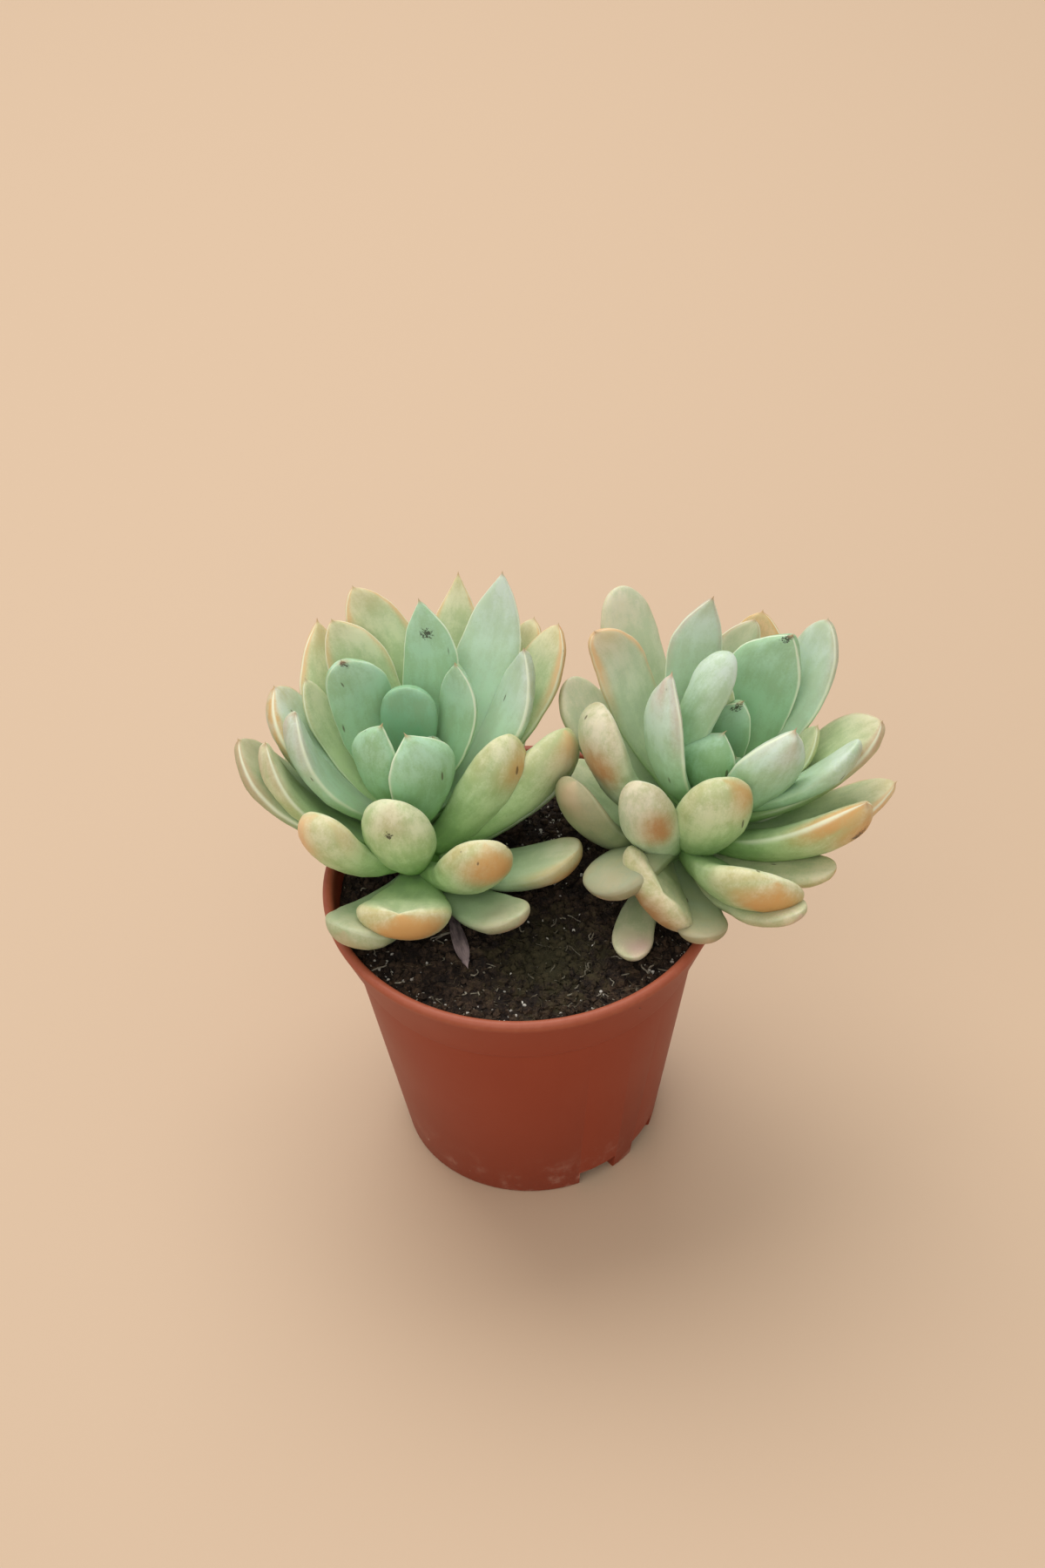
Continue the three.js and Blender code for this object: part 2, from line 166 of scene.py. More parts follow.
class Graph:
    """A node tree under construction."""

    def __init__(self, tree: bpy.types.NodeTree) -> None:
        """Starts with an empty tree."""
        self.tree = tree
        tree.nodes.clear()

    def add(self, kind: str, settings: dict[str, Any] | None = None,
            inputs: dict[str | int, Any] | None = None) -> bpy.types.Node:
        """Adds a node.

        Args:
            kind: The node's type.
            settings: The node's own settings, set first. "stops" sets a colour ramp.
            inputs: Values or channels by the socket's identifier, name or place.

        Returns:
            The node.
        """
        node = self.tree.nodes.new(kind)
        for key, value in (settings or {}).items():
            if key == "stops":
                self._ramp(node.color_ramp, value)
            else:
                setattr(node, key, value)
        for key, value in (inputs or {}).items():
            socket = self._socket(node.inputs, key)
            if isinstance(value, Channel):
                self.tree.links.new(value.socket, socket)
            else:
                socket.default_value = value
        return node

    def out(self, kind: str, settings: dict[str, Any] | None = None,
            inputs: dict[str | int, Any] | None = None, output: str | int = 0) -> Channel:
        """Adds a node and takes one of its outputs.

        Args:
            kind: The node's type.
            settings: The node's own settings.
            inputs: Values or channels of its sockets.
            output: The output's identifier, name or place.

        Returns:
            The output.
        """
        return Channel(self, self._socket(self.add(kind, settings, inputs).outputs, output))

    @staticmethod
    def _socket(sockets: Any, key: str | int) -> bpy.types.NodeSocket:
        """Finds a socket.

        Args:
            sockets: The sockets to look through.
            key: Its identifier, name or place.

        Returns:
            The socket.
        """
        if isinstance(key, int):
            return sockets[key]
        return next((s for s in sockets if s.identifier == key), None) or sockets[key]

    @staticmethod
    def _ramp(ramp: bpy.types.ColorRamp, stops: Sequence[tuple[float, Colour]]) -> None:
        """Sets a ramp's stops.

        Args:
            ramp: The ramp.
            stops: Place and colour of each stop.
        """
        while len(ramp.elements) < len(stops):
            ramp.elements.new(1.0)
        for element, (place, colour) in zip(ramp.elements, stops):
            element.position = place
            element.color = colour

    def math(self, operation: str, *values: "Channel | float") -> Channel:
        """Adds a Math node.

        Args:
            operation: The node's operation.
            values: Its operands in order.

        Returns:
            The result.
        """
        return self.out("ShaderNodeMath", {"operation": operation}, dict(enumerate(values)))

    def mix(self, factor: "Channel | float", first: "Channel | Colour", second: "Channel | Colour",
            blend: str = "MIX") -> Channel:
        """Mixes two colours.

        Args:
            factor: Share of the second colour.
            first: Colour at factor 0.
            second: Colour at factor 1.
            blend: The way they are mixed.

        Returns:
            The mixed colour.
        """
        settings = {"data_type": "RGBA", "blend_type": blend, "clamp_factor": True}
        inputs = {"Factor_Float": factor, "A_Color": first, "B_Color": second}
        return self.out("ShaderNodeMix", settings, inputs, "Result_Color")

    def vector(self, operation: str, *values: "Channel | Point") -> Channel:
        """Adds a Vector Math node.

        Args:
            operation: The node's operation.
            values: Its operands in order.

        Returns:
            The resulting vector.
        """
        return self.out("ShaderNodeVectorMath", {"operation": operation}, dict(enumerate(values)))

    def noise(self, place: Channel, scale: float, detail: float = 2.0, roughness: float = 0.5) -> Channel:
        """Smooth noise from 0 to 1.

        Args:
            place: Coordinates in metres.
            scale: Ripples per metre.
            detail: Number of finer layers.
            roughness: Weight of the finer layers.

        Returns:
            The noise.
        """
        inputs = {"Vector": place, "Scale": scale, "Detail": detail, "Roughness": roughness}
        return self.out("ShaderNodeTexNoise", {}, inputs)

    def cells(self, place: Channel, scale: float) -> tuple[Channel, Channel]:
        """Net of irregular cells.

        Args:
            place: Coordinates in metres.
            scale: Cells per metre.

        Returns:
            The distance to the nearest cell's middle, and that cell's own random number.
        """
        net = self.add("ShaderNodeTexVoronoi", {}, {"Vector": place, "Scale": scale})
        draw = Channel(self, net.outputs["Color"])
        drawn = self.out("ShaderNodeSeparateColor", {}, {"Color": draw}, "Red")
        return Channel(self, net.outputs["Distance"]), drawn

    def away(self, vector: Channel) -> Channel:
        """Length of a vector."""
        return self.out("ShaderNodeVectorMath", {"operation": "LENGTH"}, {0: vector}, "Value")

    def attribute(self, name: str, output: str = "Fac") -> Channel:
        """Reads an attribute of the mesh.

        Args:
            name: The attribute's name.
            output: "Fac", "Color", "Vector" or "Alpha".

        Returns:
            The attribute.
        """
        return self.out("ShaderNodeAttribute", {"attribute_name": name}, {}, output)

    def place(self) -> Channel:
        """Object coordinates, in metres."""
        return self.out("ShaderNodeTexCoord", {}, {}, "Object")

    def bump(self, height: Channel, strength: float, distance: float) -> Channel:
        """Turns a height into a bent normal.

        Args:
            height: Height from 0 to 1.
            strength: Share of the effect.
            distance: Depth in millimetres of a height of 1.

        Returns:
            The normal.
        """
        inputs = {"Height": height, "Strength": strength, "Distance": distance * MILLIMETRE}
        return self.out("ShaderNodeBump", {}, inputs, "Normal")


def new_material(name: str) -> tuple[bpy.types.Material, Graph]:
    """Makes an empty material.

    Args:
        name: The material's name.

    Returns:
        The material and the graph of its nodes.
    """
    material = bpy.data.materials.new(name)
    material.use_nodes = True
    return material, Graph(material.node_tree)


def surface(graph: Graph, **inputs: Any) -> None:
    """Ends a material in one Principled shader.

    Args:
        graph: The material's graph.
        inputs: Values or channels by socket name, with _ for a space.
    """
    named = {key.replace("_", " "): value for key, value in inputs.items()}
    shader = graph.out("ShaderNodeBsdfPrincipled", {}, named)
    graph.add("ShaderNodeOutputMaterial", {}, {"Surface": shader})


# Finishes


@dataclass(frozen=True)
class LeafSkin:
    """Fleshy skin under a powdery bloom, blushed towards the sun."""

    shade: str = "c9dcb4"
    pale: str = "e2e6d9"
    rim: str = "e9efd2"
    pore: str = "6f8a5c"
    speck: str = "4a3a26"
    scar: str = "2c2118"
    point: str = "b98f70"

    def build(self) -> bpy.types.Material:
        """Makes the material.

        Returns:
            The material.
        """
        material, graph = new_material("leaf_skin")
        place = graph.attribute("blade_space", "Vector")
        drawn = graph.vector("MULTIPLY", place, (0.25, 1.0, 1.0))
        skin = graph.attribute("skin", "Color")
        blush = graph.attribute("blush", "Color")
        blushed = graph.attribute("blush", "Alpha")
        cloud = graph.noise(place, scale=150, detail=4, roughness=0.6)
        streak = graph.noise(drawn, scale=600, detail=3, roughness=0.6)
        grain = graph.noise(place, scale=2600, detail=2, roughness=0.6)
        uneven = cloud * 0.55 + streak * 0.3 + grain * 0.15
        shaded = graph.mix(1.0, skin, linear(self.shade), "MULTIPLY")
        colour = graph.mix(uneven.step(0.4, 0.62), skin, shaded)
        heat = (blushed * (uneven * 2.2 + 0.05)).step(0.06, 0.95)
        colour = graph.mix(heat, colour, blush)
        powder = graph.attribute("bloom") * (uneven * 1.9 - 0.25) * (1.0 - heat * 0.7)
        colour = graph.mix(powder.step(0.0, 1.1) * 0.55, colour, linear(self.pale))
        edge = (graph.attribute("rim") * (streak * 0.7 + 0.65)).step(0.1, 0.8)
        colour = graph.mix(edge * 0.75, colour, linear(self.rim))
        pores = self._dots(graph, place, scale=1150.0, chance=0.3, size=0.09)
        colour = graph.mix(pores * 0.3, colour, linear(self.pore))
        specks = self._dots(graph, drawn, scale=450.0, chance=graph.attribute("specks"), size=0.15)
        colour = graph.mix(specks * 0.7, colour, linear(self.speck))
        scar = self._scar(graph, place)
        colour = graph.mix(scar * 0.85, colour, linear(self.scar))
        tip = graph.attribute("point") * (cloud * 0.6 + 0.6)
        colour = graph.mix(tip, colour, linear(self.point))
        height = grain * 0.3 + streak * 0.45 + cloud * 0.5 - specks * 0.4 - scar * 0.5
        relief = graph.bump(height, strength=0.45, distance=0.16)
        surface(graph, Base_Color=colour, Roughness=0.46 + grain * 0.12 + powder * 0.12,
                Specular_IOR_Level=0.32, Subsurface_Weight=0.2, Subsurface_Radius=(1.0, 1.0, 0.5),
                Subsurface_Scale=0.0015, Normal=relief)
        return material

    @staticmethod
    def _dots(graph: Graph, place: Channel, scale: float, chance: Channel | float,
              size: float) -> Channel:
        """Small dots in some of the cells of a net.

        Args:
            graph: The material's graph.
            place: Coordinates along the blade.
            scale: Cells per metre.
            chance: Share of the cells that hold a dot.
            size: Greatest radius of a dot as a share of the cell.

        Returns:
            The dots' mask.
        """
        near, drawn = graph.cells(place, scale)
        radius = (chance - drawn).step(0.0, 0.1) * size
        return (radius - near).step(-0.03, 0.03)

    @staticmethod
    def _scar(graph: Graph, place: Channel) -> Channel:
        """A cluster of dark marks round the place that the mesh names.

        Args:
            graph: The material's graph.
            place: Coordinates along the blade.

        Returns:
            The marks' mask.
        """
        inward = 1.0 - graph.away(graph.attribute("scar_space", "Vector"))
        ragged = graph.noise(place, scale=2200, detail=3, roughness=0.75)
        marks = (inward * 0.5 + (ragged - 0.5) * 2.2).step(0.15, 0.35)
        return marks * inward.step(-0.1, 0.4)


@dataclass(frozen=True)
class PotPlastic:
    """Satin terracotta-brown plastic with dust, a few scuffs and a painted highlight on the lip."""

    body: str = "943c22"
    fade: str = "e8d8cc"
    lip_highlight: str = "c07a5c"
    dust: str = "d9b8a2"

    def build(self) -> bpy.types.Material:
        """Makes the material.

        Returns:
            The material.
        """
        material, graph = new_material("pot_plastic")
        place = graph.place()
        cloud = graph.noise(place, scale=45, detail=3, roughness=0.5)
        grain = graph.noise(place, scale=1800, detail=2, roughness=0.5)
        drawn = graph.vector("MULTIPLY", place, (1.0, 1.0, 0.15))
        flow = graph.noise(drawn, scale=260, detail=2, roughness=0.5)
        height = graph.out("ShaderNodeSeparateXYZ", {}, {"Vector": place}, "Z")
        body = linear(self.body)
        faded = graph.mix(1.0, body, linear(self.fade), "MULTIPLY")
        colour = graph.mix(cloud * 0.5 + flow * 0.2, body, faded)
        dusty = graph.noise(place, scale=210, detail=4, roughness=0.7)
        foot = (1 - height.step(0.001, 0.016)) * dusty.step(0.5, 0.75)
        colour = graph.mix(foot * 0.35, colour, linear(self.dust))
        near, draw = graph.cells(place, scale=240.0)
        fleck = (0.06 - near).step(-0.015, 0.015) * draw.step(0.93, 0.96)
        colour = graph.mix(fleck * 0.7, colour, linear(self.dust))
        # Painted highlight: a lighter tint along the top of the lip, where light from above catches it,
        # broken up by noise.
        highlight_breakup = graph.noise(place, scale=700, detail=3, roughness=0.6)
        lip = graph.attribute("lip") * (highlight_breakup * 0.7 + 0.4)
        colour = graph.mix(lip * 0.4, colour, linear(self.lip_highlight))
        relief = graph.bump(grain * 0.6 + flow * 0.4, strength=0.2, distance=0.08)
        surface(graph, Base_Color=colour, Roughness=0.42 + cloud * 0.1 + foot * 0.2,
                Specular_IOR_Level=0.3, Normal=relief)
        return material


@dataclass(frozen=True)
class Peat:
    """Damp peat, nearly black, with browner drier crumbs and a film of moss."""

    name: str
    wet: str
    dry: str
    moss: str = "2f2d14"
    moss_middle: Point = (4.0, -17.0, 59.0)
    moss_reach: float = 18.0

    def build(self) -> bpy.types.Material:
        """Makes the material.

        Returns:
            The material.
        """
        material, graph = new_material(self.name)
        place = graph.place()
        lump = graph.noise(place, scale=420, detail=4, roughness=0.65)
        grain = graph.noise(place, scale=2400, detail=3, roughness=0.7)
        mask = (lump * 0.7 + grain * 0.5).step(0.45, 0.85)
        colour = graph.mix(mask, linear(self.wet), linear(self.dry))
        middle = tuple(part * MILLIMETRE for part in self.moss_middle)
        away = graph.away(graph.vector("SUBTRACT", place, middle))
        film = (1.0 - away * (1 / (self.moss_reach * MILLIMETRE))) * 0.6 + (lump - 0.5) * 1.5
        colour = graph.mix(film.step(0.1, 0.5) * (0.4 + grain * 0.6), colour, linear(self.moss))
        relief = graph.bump(lump * 0.5 + grain * 0.5, strength=0.7, distance=0.5)
        surface(graph, Base_Color=colour, Roughness=0.95 - mask * 0.15,
                Specular_IOR_Level=0.3, Normal=relief)
        return material


@dataclass(frozen=True)
class Mineral:
    """Chalky grit and perlite."""

    name: str
    light: str
    stain: str

    def build(self) -> bpy.types.Material:
        """Makes the material.

        Returns:
            The material.
        """
        material, graph = new_material(self.name)
        place = graph.place()
        cloud = graph.noise(place, scale=700, detail=3, roughness=0.6)
        grain = graph.noise(place, scale=4200, detail=2, roughness=0.6)
        mask = (cloud * 0.8 + grain * 0.4).step(0.4, 0.9)
        colour = graph.mix(mask, linear(self.light), linear(self.stain))
        relief = graph.bump(grain, strength=0.5, distance=0.12)
        surface(graph, Base_Color=colour, Roughness=0.85 - grain * 0.15, Normal=relief)
        return material


@dataclass(frozen=True)
class DriedLeaf:
    """Papery shrivelled skin, streaked along the leaf."""

    name: str
    light: str
    dark: str

    def build(self) -> bpy.types.Material:
        """Makes the material.

        Returns:
            The material.
        """
        material, graph = new_material(self.name)
        place = graph.attribute("blade_space", "Vector")
        drawn = graph.vector("MULTIPLY", place, (0.2, 1.0, 1.0))
        streak = graph.noise(drawn, scale=1500, detail=3, roughness=0.6)
        cloud = graph.noise(place, scale=300, detail=2, roughness=0.5)
        mask = (streak * 0.9 + cloud * 0.4).step(0.4, 0.85)
        colour = graph.mix(mask, linear(self.light), linear(self.dark))
        relief = graph.bump(streak, strength=0.6, distance=0.25)
        surface(graph, Base_Color=colour, Roughness=0.75 + mask * 0.15, Normal=relief)
        return material


@dataclass(frozen=True)
class FloorPaint:
    """Plain pale floor."""

    colour: str = "c6a98b"

    def build(self) -> bpy.types.Material:
        """Makes the material.

        Returns:
            The material.
        """
        material, graph = new_material("floor")
        surface(graph, Base_Color=linear(self.colour), Roughness=0.6)
        return material


# Meshes


class Draft:
    """A mesh under construction, with attributes on its points, in millimetres."""

    def __init__(self) -> None:
        """Starts empty."""
        self.points: list[Vector] = []
        self.faces: list[tuple[int, ...]] = []
        self.values: dict[str, list[Any]] = {}

    def ring(self, points: Iterable[Vector], **values: Sequence[Any]) -> int:
        """Adds points with their attributes.

        Args:
            points: The points.
            values: One value for each point, by attribute name.

        Returns:
            The first point's place in the mesh.
        """
        first = len(self.points)
        self.points.extend(points)
        for name, row in values.items():
            self.values.setdefault(name, []).extend(row)
        return first

    def bridge(self, lower: int, upper: int, sides: int) -> None:
        """Joins two closed rings of points with quads.

        Args:
            lower: First point of the ring that comes first.
            upper: First point of the next ring.
            sides: Number of points in each ring.
        """
        for j in range(sides):
            k = (j + 1) % sides
            self.faces.append((lower + j, lower + k, upper + k, upper + j))

    def cap(self, ring: int, point: int, sides: int, outward: bool) -> None:
        """Closes a ring of points at one point.

        Args:
            ring: First point of the ring.
            point: The closing point.
            sides: Number of points in the ring.
            outward: True if the ring comes before the point along the piece.
        """
        for j in range(sides):
            k = (j + 1) % sides
            self.faces.append((ring + j, ring + k, point) if outward else (ring + k, ring + j, point))

    def build(self, name: str, material: bpy.types.Material) -> bpy.types.Object:
        """Makes the object.

        Args:
            name: The object's name.
            material: Its material.

        Returns:
            The object, at the origin.
        """
        mesh = bpy.data.meshes.new(name)
        mesh.from_pydata([p * MILLIMETRE for p in self.points], [], self.faces)
        for key, row in self.values.items():
            kind, slot = self._kind(row[0])
            data = mesh.attributes.new(key, kind, "POINT").data
            parts = row if slot == "value" else [part for value in row for part in value]
            data.foreach_set(slot, parts)
        mesh.materials.append(material)
        mesh.shade_smooth()
        mesh.update()
        obj = bpy.data.objects.new(name, mesh)
        bpy.context.scene.collection.objects.link(obj)
        return obj

    @staticmethod
    def _kind(value: Any) -> tuple[str, str]:
        """Finds how an attribute is kept.

        Args:
            value: One of its values.

        Returns:
            The attribute's type and the name of its data.
        """
        if isinstance(value, (int, float)):
            return "FLOAT", "value"
        return ("FLOAT_COLOR", "color") if len(value) == 4 else ("FLOAT_VECTOR", "vector")


def lathe(profile: Sequence[tuple[float, float]], sides: int) -> Draft:
    """Turns a profile round the Z axis.

    Args:
        profile: Radius and height of each point, from the axis at the bottom to the axis at the top.
        sides: Number of sides.

    Returns:
        The closed mesh.
    """
    draft = Draft()
    rings = []
    for radius, z in profile[1:-1]:
        turns = [2 * math.pi * j / sides for j in range(sides)]
        rings.append(draft.ring([Vector((radius * math.cos(t), radius * math.sin(t), z)) for t in turns]))
    for lower, upper in zip(rings, rings[1:]):
        draft.bridge(lower, upper, sides)
    bottom = draft.ring([Vector((0, 0, profile[0][1]))])
    top = draft.ring([Vector((0, 0, profile[-1][1]))])
    draft.cap(rings[0], bottom, sides, False)
    draft.cap(rings[-1], top, sides, True)
    return draft


def flatten(obj: bpy.types.Object, name: str) -> bpy.types.Object:
    """Turns an object with its modifiers into a plain mesh and removes the original.

    Args:
        obj: The object.
        name: The plain object's name.

    Returns:
        The plain object.
    """
    graph = bpy.context.evaluated_depsgraph_get()
    mesh = bpy.data.meshes.new_from_object(obj.evaluated_get(graph), depsgraph=graph)
    bpy.data.objects.remove(obj)
    mesh.name = name
    plain = bpy.data.objects.new(name, mesh)
    bpy.context.scene.collection.objects.link(plain)
    return plain


# Leaves


@dataclass(frozen=True)
class BladeShape:
    """Outline of a blade.

    Attributes:
        full: Fullness of its end.
        sharp: Sharpness of its end.
        widest: Station of its greatest width.
        edge: Sharpness of its upper edge.
        spike: Length of the point on its tip.
        rim: Clearness of its pale rim.
    """

    full: float
    sharp: float
    widest: float
    edge: float
    spike: float
    rim: float


class Outline(Enum):
    """Kinds of blade, from pointed to round."""

    KITE = BladeShape(full=2.4, sharp=0.98, widest=0.6, edge=0.9, spike=0.9, rim=1.0)
    PLAIN = BladeShape(full=2.4, sharp=0.72, widest=0.66, edge=0.8, spike=0.7, rim=0.85)
    BLUNT = BladeShape(full=2.4, sharp=0.56, widest=0.7, edge=0.7, spike=0.8, rim=0.5)
    ROUND = BladeShape(full=2.2, sharp=0.52, widest=0.72, edge=0.5, spike=0, rim=0.3)
    DISC = BladeShape(full=2.1, sharp=0.5, widest=0.6, edge=0.5, spike=0, rim=0.2)


class Skin(Enum):
    """Greens of a leaf at its root, its middle and its end, with darker sets that paint shade."""

    # Painted shade: darker greens for the heart leaves, which sit in the shade deep in each crown.
    SHADED_HEART = ("66a064", "74ad7c", "8cbc96")
    MINT = ("84b46a", "92c090", "b2d4b4")
    FROST = ("90be74", "aad0a8", "ccd8c8")
    LIME = ("96c06c", "b8d094", "dcd8b2")
    SAGE = ("7da25a", "9bb384", "b8b690")
    SAND = ("a3b070", "c2c396", "d6cba4")
    PALE = ("a2c87c", "c6d6ac", "dcd0b2")
    AMBER = ("a8bc6c", "dcc088", "e6be8c")
    # Painted shade: darker olive greens for low leaves that lie in the shadow of the leaves over them.
    SHADED_OLIVE = ("6f8a4c", "8c9466", "a2946e")

    @property
    def bloom(self) -> float:
        """Strength of the powdery bloom, greatest on the palest leaves."""
        return 0.8 if self in (Skin.FROST, Skin.PALE) else 0.55


class Blush(Enum):
    """Colours of the sun's blush."""

    PEACH = "e0b886"
    ORANGE = "d0a060"
    PINK = "d0aca0"
    TAN = "c6a886"
    RUST = "b58450"


@dataclass(frozen=True)
class Leaf:
    """One leaf's place on its crown, its size and its colouring.

    Attributes:
        share: Height of its root on the crown.
        azimuth: Direction in degrees.
        lift: Mean angle above the horizon in degrees.
        length: Length along the midrib.
        width: Greatest width.
        outline: Outline of its blade.
        skin: Its greens.
        blush: Colour of its blush.
        glow: Strength of its blush.
        curl: Whole upward turn in degrees.
        sway: Whole sideways turn in degrees.
        roll: Turn about the midrib in degrees.
        thickness: Greatest thickness, or None for the usual share of the width.
        skew: Shift of the tip to one side, as a share of the half width.
        spot: Station and turn in degrees of the middle of the blush, and its spread round the leaf.
        specks: Share of the places that hold a dark speck.
        notch: Depth of the hollow in the upper face's end, as a share of the half thickness.
        scar: Station, turn in degrees and radius of a cluster of dark marks, or None.
    """

    share: float
    azimuth: float
    lift: float
    length: float
    width: float
    outline: Outline
    skin: Skin
    blush: Blush = Blush.PEACH
    glow: float = 0.3
    curl: float = 45
    sway: float = 0
    roll: float = 0
    thickness: float | None = None
    skew: float = 0
    spot: tuple[float, float, float] = (0.95, -90, 1.0)
    specks: float = 0.12
    notch: float = 0
    scar: tuple[float, float, float] | None = None


@dataclass
class Blade:
    """Surface of one leaf, built ring by ring along its bent midrib.

    Attributes:
        root: Place where it grows.
        leaf: The leaf.
        seed: Seed of its unevenness and its specks.
        sides: Points round a ring.
        stations: Rings along the leaf.
        crowding: Power by which the rings crowd towards the tip.
        thickness_share: Usual thickness as a share of the width.
        upper_bulge: Height of the upper face in half thicknesses.
        lower_bulge: Depth of the lower face in half thicknesses.
        neck: Width of the root as a share of the greatest width.
        base_thickness: Thickness of the root as a share of the greatest thickness.
        tip_radius: Radius of the point on the tip at its foot.
        tip_taper: Distance in which that point runs out, past its own length.
        waviness: Depth of the skin's unevenness.
        broad: Waves per millimetre and weight of the broad unevenness.
        fine: Waves per millimetre and weight of the fine unevenness.
        patch: Length of the blush's patch, as a share of the leaf.
    """

    root: Vector
    leaf: Leaf
    seed: int
    sides: int = 36
    stations: int = 40
    crowding: float = 1.7
    thickness_share: float = 0.44
    upper_bulge: float = 0.5
    lower_bulge: float = 1.3
    neck: float = 0.42
    base_thickness: float = 0.55
    tip_radius: float = 0.65
    tip_taper: float = 1.2
    waviness: float = 0.28
    broad: tuple[float, float] = (0.16, 1.3)
    fine: tuple[float, float] = (0.45, 0.5)
    patch: float = 0.18

    ATTRIBUTES: ClassVar[tuple[str, ...]] = (
        "skin", "blush", "rim", "point", "bloom", "specks", "blade_space", "scar_space",
    )

    @property
    def shape(self) -> BladeShape:
        """Outline of the blade."""
        return self.leaf.outline.value

    def axes(self, station: float) -> tuple[Vector, Vector, Vector]:
        """Directions at a station.

        Args:
            station: Share of the leaf's length.

        Returns:
            Directions along the leaf, across it, and out of its upper face.
        """
        leaf = self.leaf
        lift = math.radians(leaf.lift + leaf.curl * (station - 0.5))
        azimuth = math.radians(leaf.azimuth + leaf.sway * (station - 0.5))
        roll = math.radians(leaf.roll)
        flat = math.cos(lift)
        along = Vector((flat * math.cos(azimuth), flat * math.sin(azimuth), math.sin(lift)))
        side = Vector((-math.sin(azimuth), math.cos(azimuth), 0))
        face = along.cross(side)
        return (along, side * math.cos(roll) + face * math.sin(roll),
                face * math.cos(roll) - side * math.sin(roll))

    def shares(self, station: float) -> tuple[float, float]:
        """Shares of the greatest half width and half thickness.

        Args:
            station: Share of the leaf's length.

        Returns:
            The share of the half width and the share of the half thickness.
        """
        shape = self.shape
        if station < shape.widest:
            rise = math.sin(math.pi / 2 * station / shape.widest)
            width = self.neck + (1 - self.neck) * rise ** 1.3
            return width, self.base_thickness + (1 - self.base_thickness) * rise
        end = min(1.0, (station - shape.widest) / (1 - shape.widest))
        return (1 - end ** shape.full) ** shape.sharp, math.sqrt(1 - end ** 2.4)

    def sizes(self, reach: float) -> tuple[float, float, float]:
        """Half sizes of the section, with the small point that ends the leaf.

        Args:
            reach: Distance from the root along the midrib.

        Returns:
            Half width, half thickness and the share of the point.
        """
        leaf = self.leaf
        thickness = leaf.thickness or self.thickness_share * leaf.width
        wide, thick = self.shares(min(1.0, reach / leaf.length))
        spike = self.shape.spike
        over = (leaf.length + spike - reach) / (spike + self.tip_taper)
        point = self.tip_radius * max(0.0, over) ** 1.2 if over < 1 else 0.0
        half_width = ((leaf.width / 2 * wide) ** 3 + point ** 3) ** (1 / 3)
        half_thickness = ((thickness / 2 * thick) ** 3 + point ** 3) ** (1 / 3)
        return half_width, half_thickness, between(leaf.length - 0.6, leaf.length + 0.5 * spike, reach)

    def write(self, draft: Draft) -> None:
        """Adds the leaf to a mesh.

        Args:
            draft: The mesh.
        """
        leaf = self.leaf
        whole = leaf.length + self.shape.spike
        reaches = [whole * (1 - (1 - i / self.stations) ** self.crowding) for i in range(self.stations)]
        middle = self.root.copy()
        previous = None
        last = 0.0
        for reach in reaches:
            middle = middle + self.axes((reach + last) / 2 / leaf.length)[0] * (reach - last)
            last = reach
            ring = self._ring(draft, middle, reach)
            if previous is None:
                start = self._pole(draft, middle, reach)
                draft.cap(ring, start, self.sides, False)
            else:
                draft.bridge(previous, ring, self.sides)
            previous = ring
        along, side, _ = self.axes(1.0)
        end = self._pole(draft, middle + along * (whole - last) + self.shift(whole, side), whole)
        draft.cap(previous, end, self.sides, True)

    def shift(self, reach: float, side: Vector) -> Vector:
        """Sideways shift of the midrib towards the tip.

        Args:
            reach: Distance from the root along the midrib.
            side: Direction across the leaf.

        Returns:
            The shift.
        """
        widest = self.shape.widest
        end = max(0.0, (reach / self.leaf.length - widest) / (1 - widest))
        return side * (self.leaf.skew * self.leaf.width / 2 * end ** 2)

    def bulge(self, turn: float, station: float) -> float:
        """Height of the section's outline, round below and flat above.

        Args:
            turn: Angle round the section.
            station: Share of the leaf's length.

        Returns:
            Height as a share of the half thickness.
        """
        if math.sin(turn) <= 0:
            return self.lower_bulge * math.sin(turn)
        hollow = self.leaf.notch * between(0.5, 0.95, station) * math.exp(-(math.cos(turn) / 0.4) ** 2)
        return self.upper_bulge * (1 - math.cos(turn) ** 4) ** self.shape.edge - hollow

    def _pole(self, draft: Draft, place: Vector, reach: float) -> int:
        """Adds a point that closes an end."""
        return draft.ring([place], **{key: [row[0]] for key, row in self._paint(reach, [0.0]).items()})

    def _ring(self, draft: Draft, middle: Vector, reach: float) -> int:
        """Adds one ring of points.

        Args:
            draft: The mesh.
            middle: Place on the midrib, before its sideways shift.
            reach: Distance from the root along the midrib.

        Returns:
            The first point's place in the mesh.
        """
        half_width, half_thickness, _ = self.sizes(reach)
        _, side, face = self.axes(reach / self.leaf.length)
        turns = [2 * math.pi * j / self.sides for j in range(self.sides)]
        middle = middle + self.shift(reach, side)
        points = []
        for turn in turns:
            place = (middle + side * (half_width * math.cos(turn))
                     + face * (half_thickness * self.bulge(turn, reach / self.leaf.length)))
            fade = between(0.0, 2.5, half_thickness) * self.waviness
            wave = noise.noise(place * self.broad[0] + Vector((self.seed * 7.3, 0, 0)))
            fine = noise.noise(place * self.fine[0] + Vector((0, self.seed * 3.1, 0)))
            outward = (place - middle).normalized() if place != middle else face
            points.append(place + outward * fade * (wave * self.broad[1] + fine * self.fine[1]))
        return draft.ring(points, **self._paint(reach, turns))

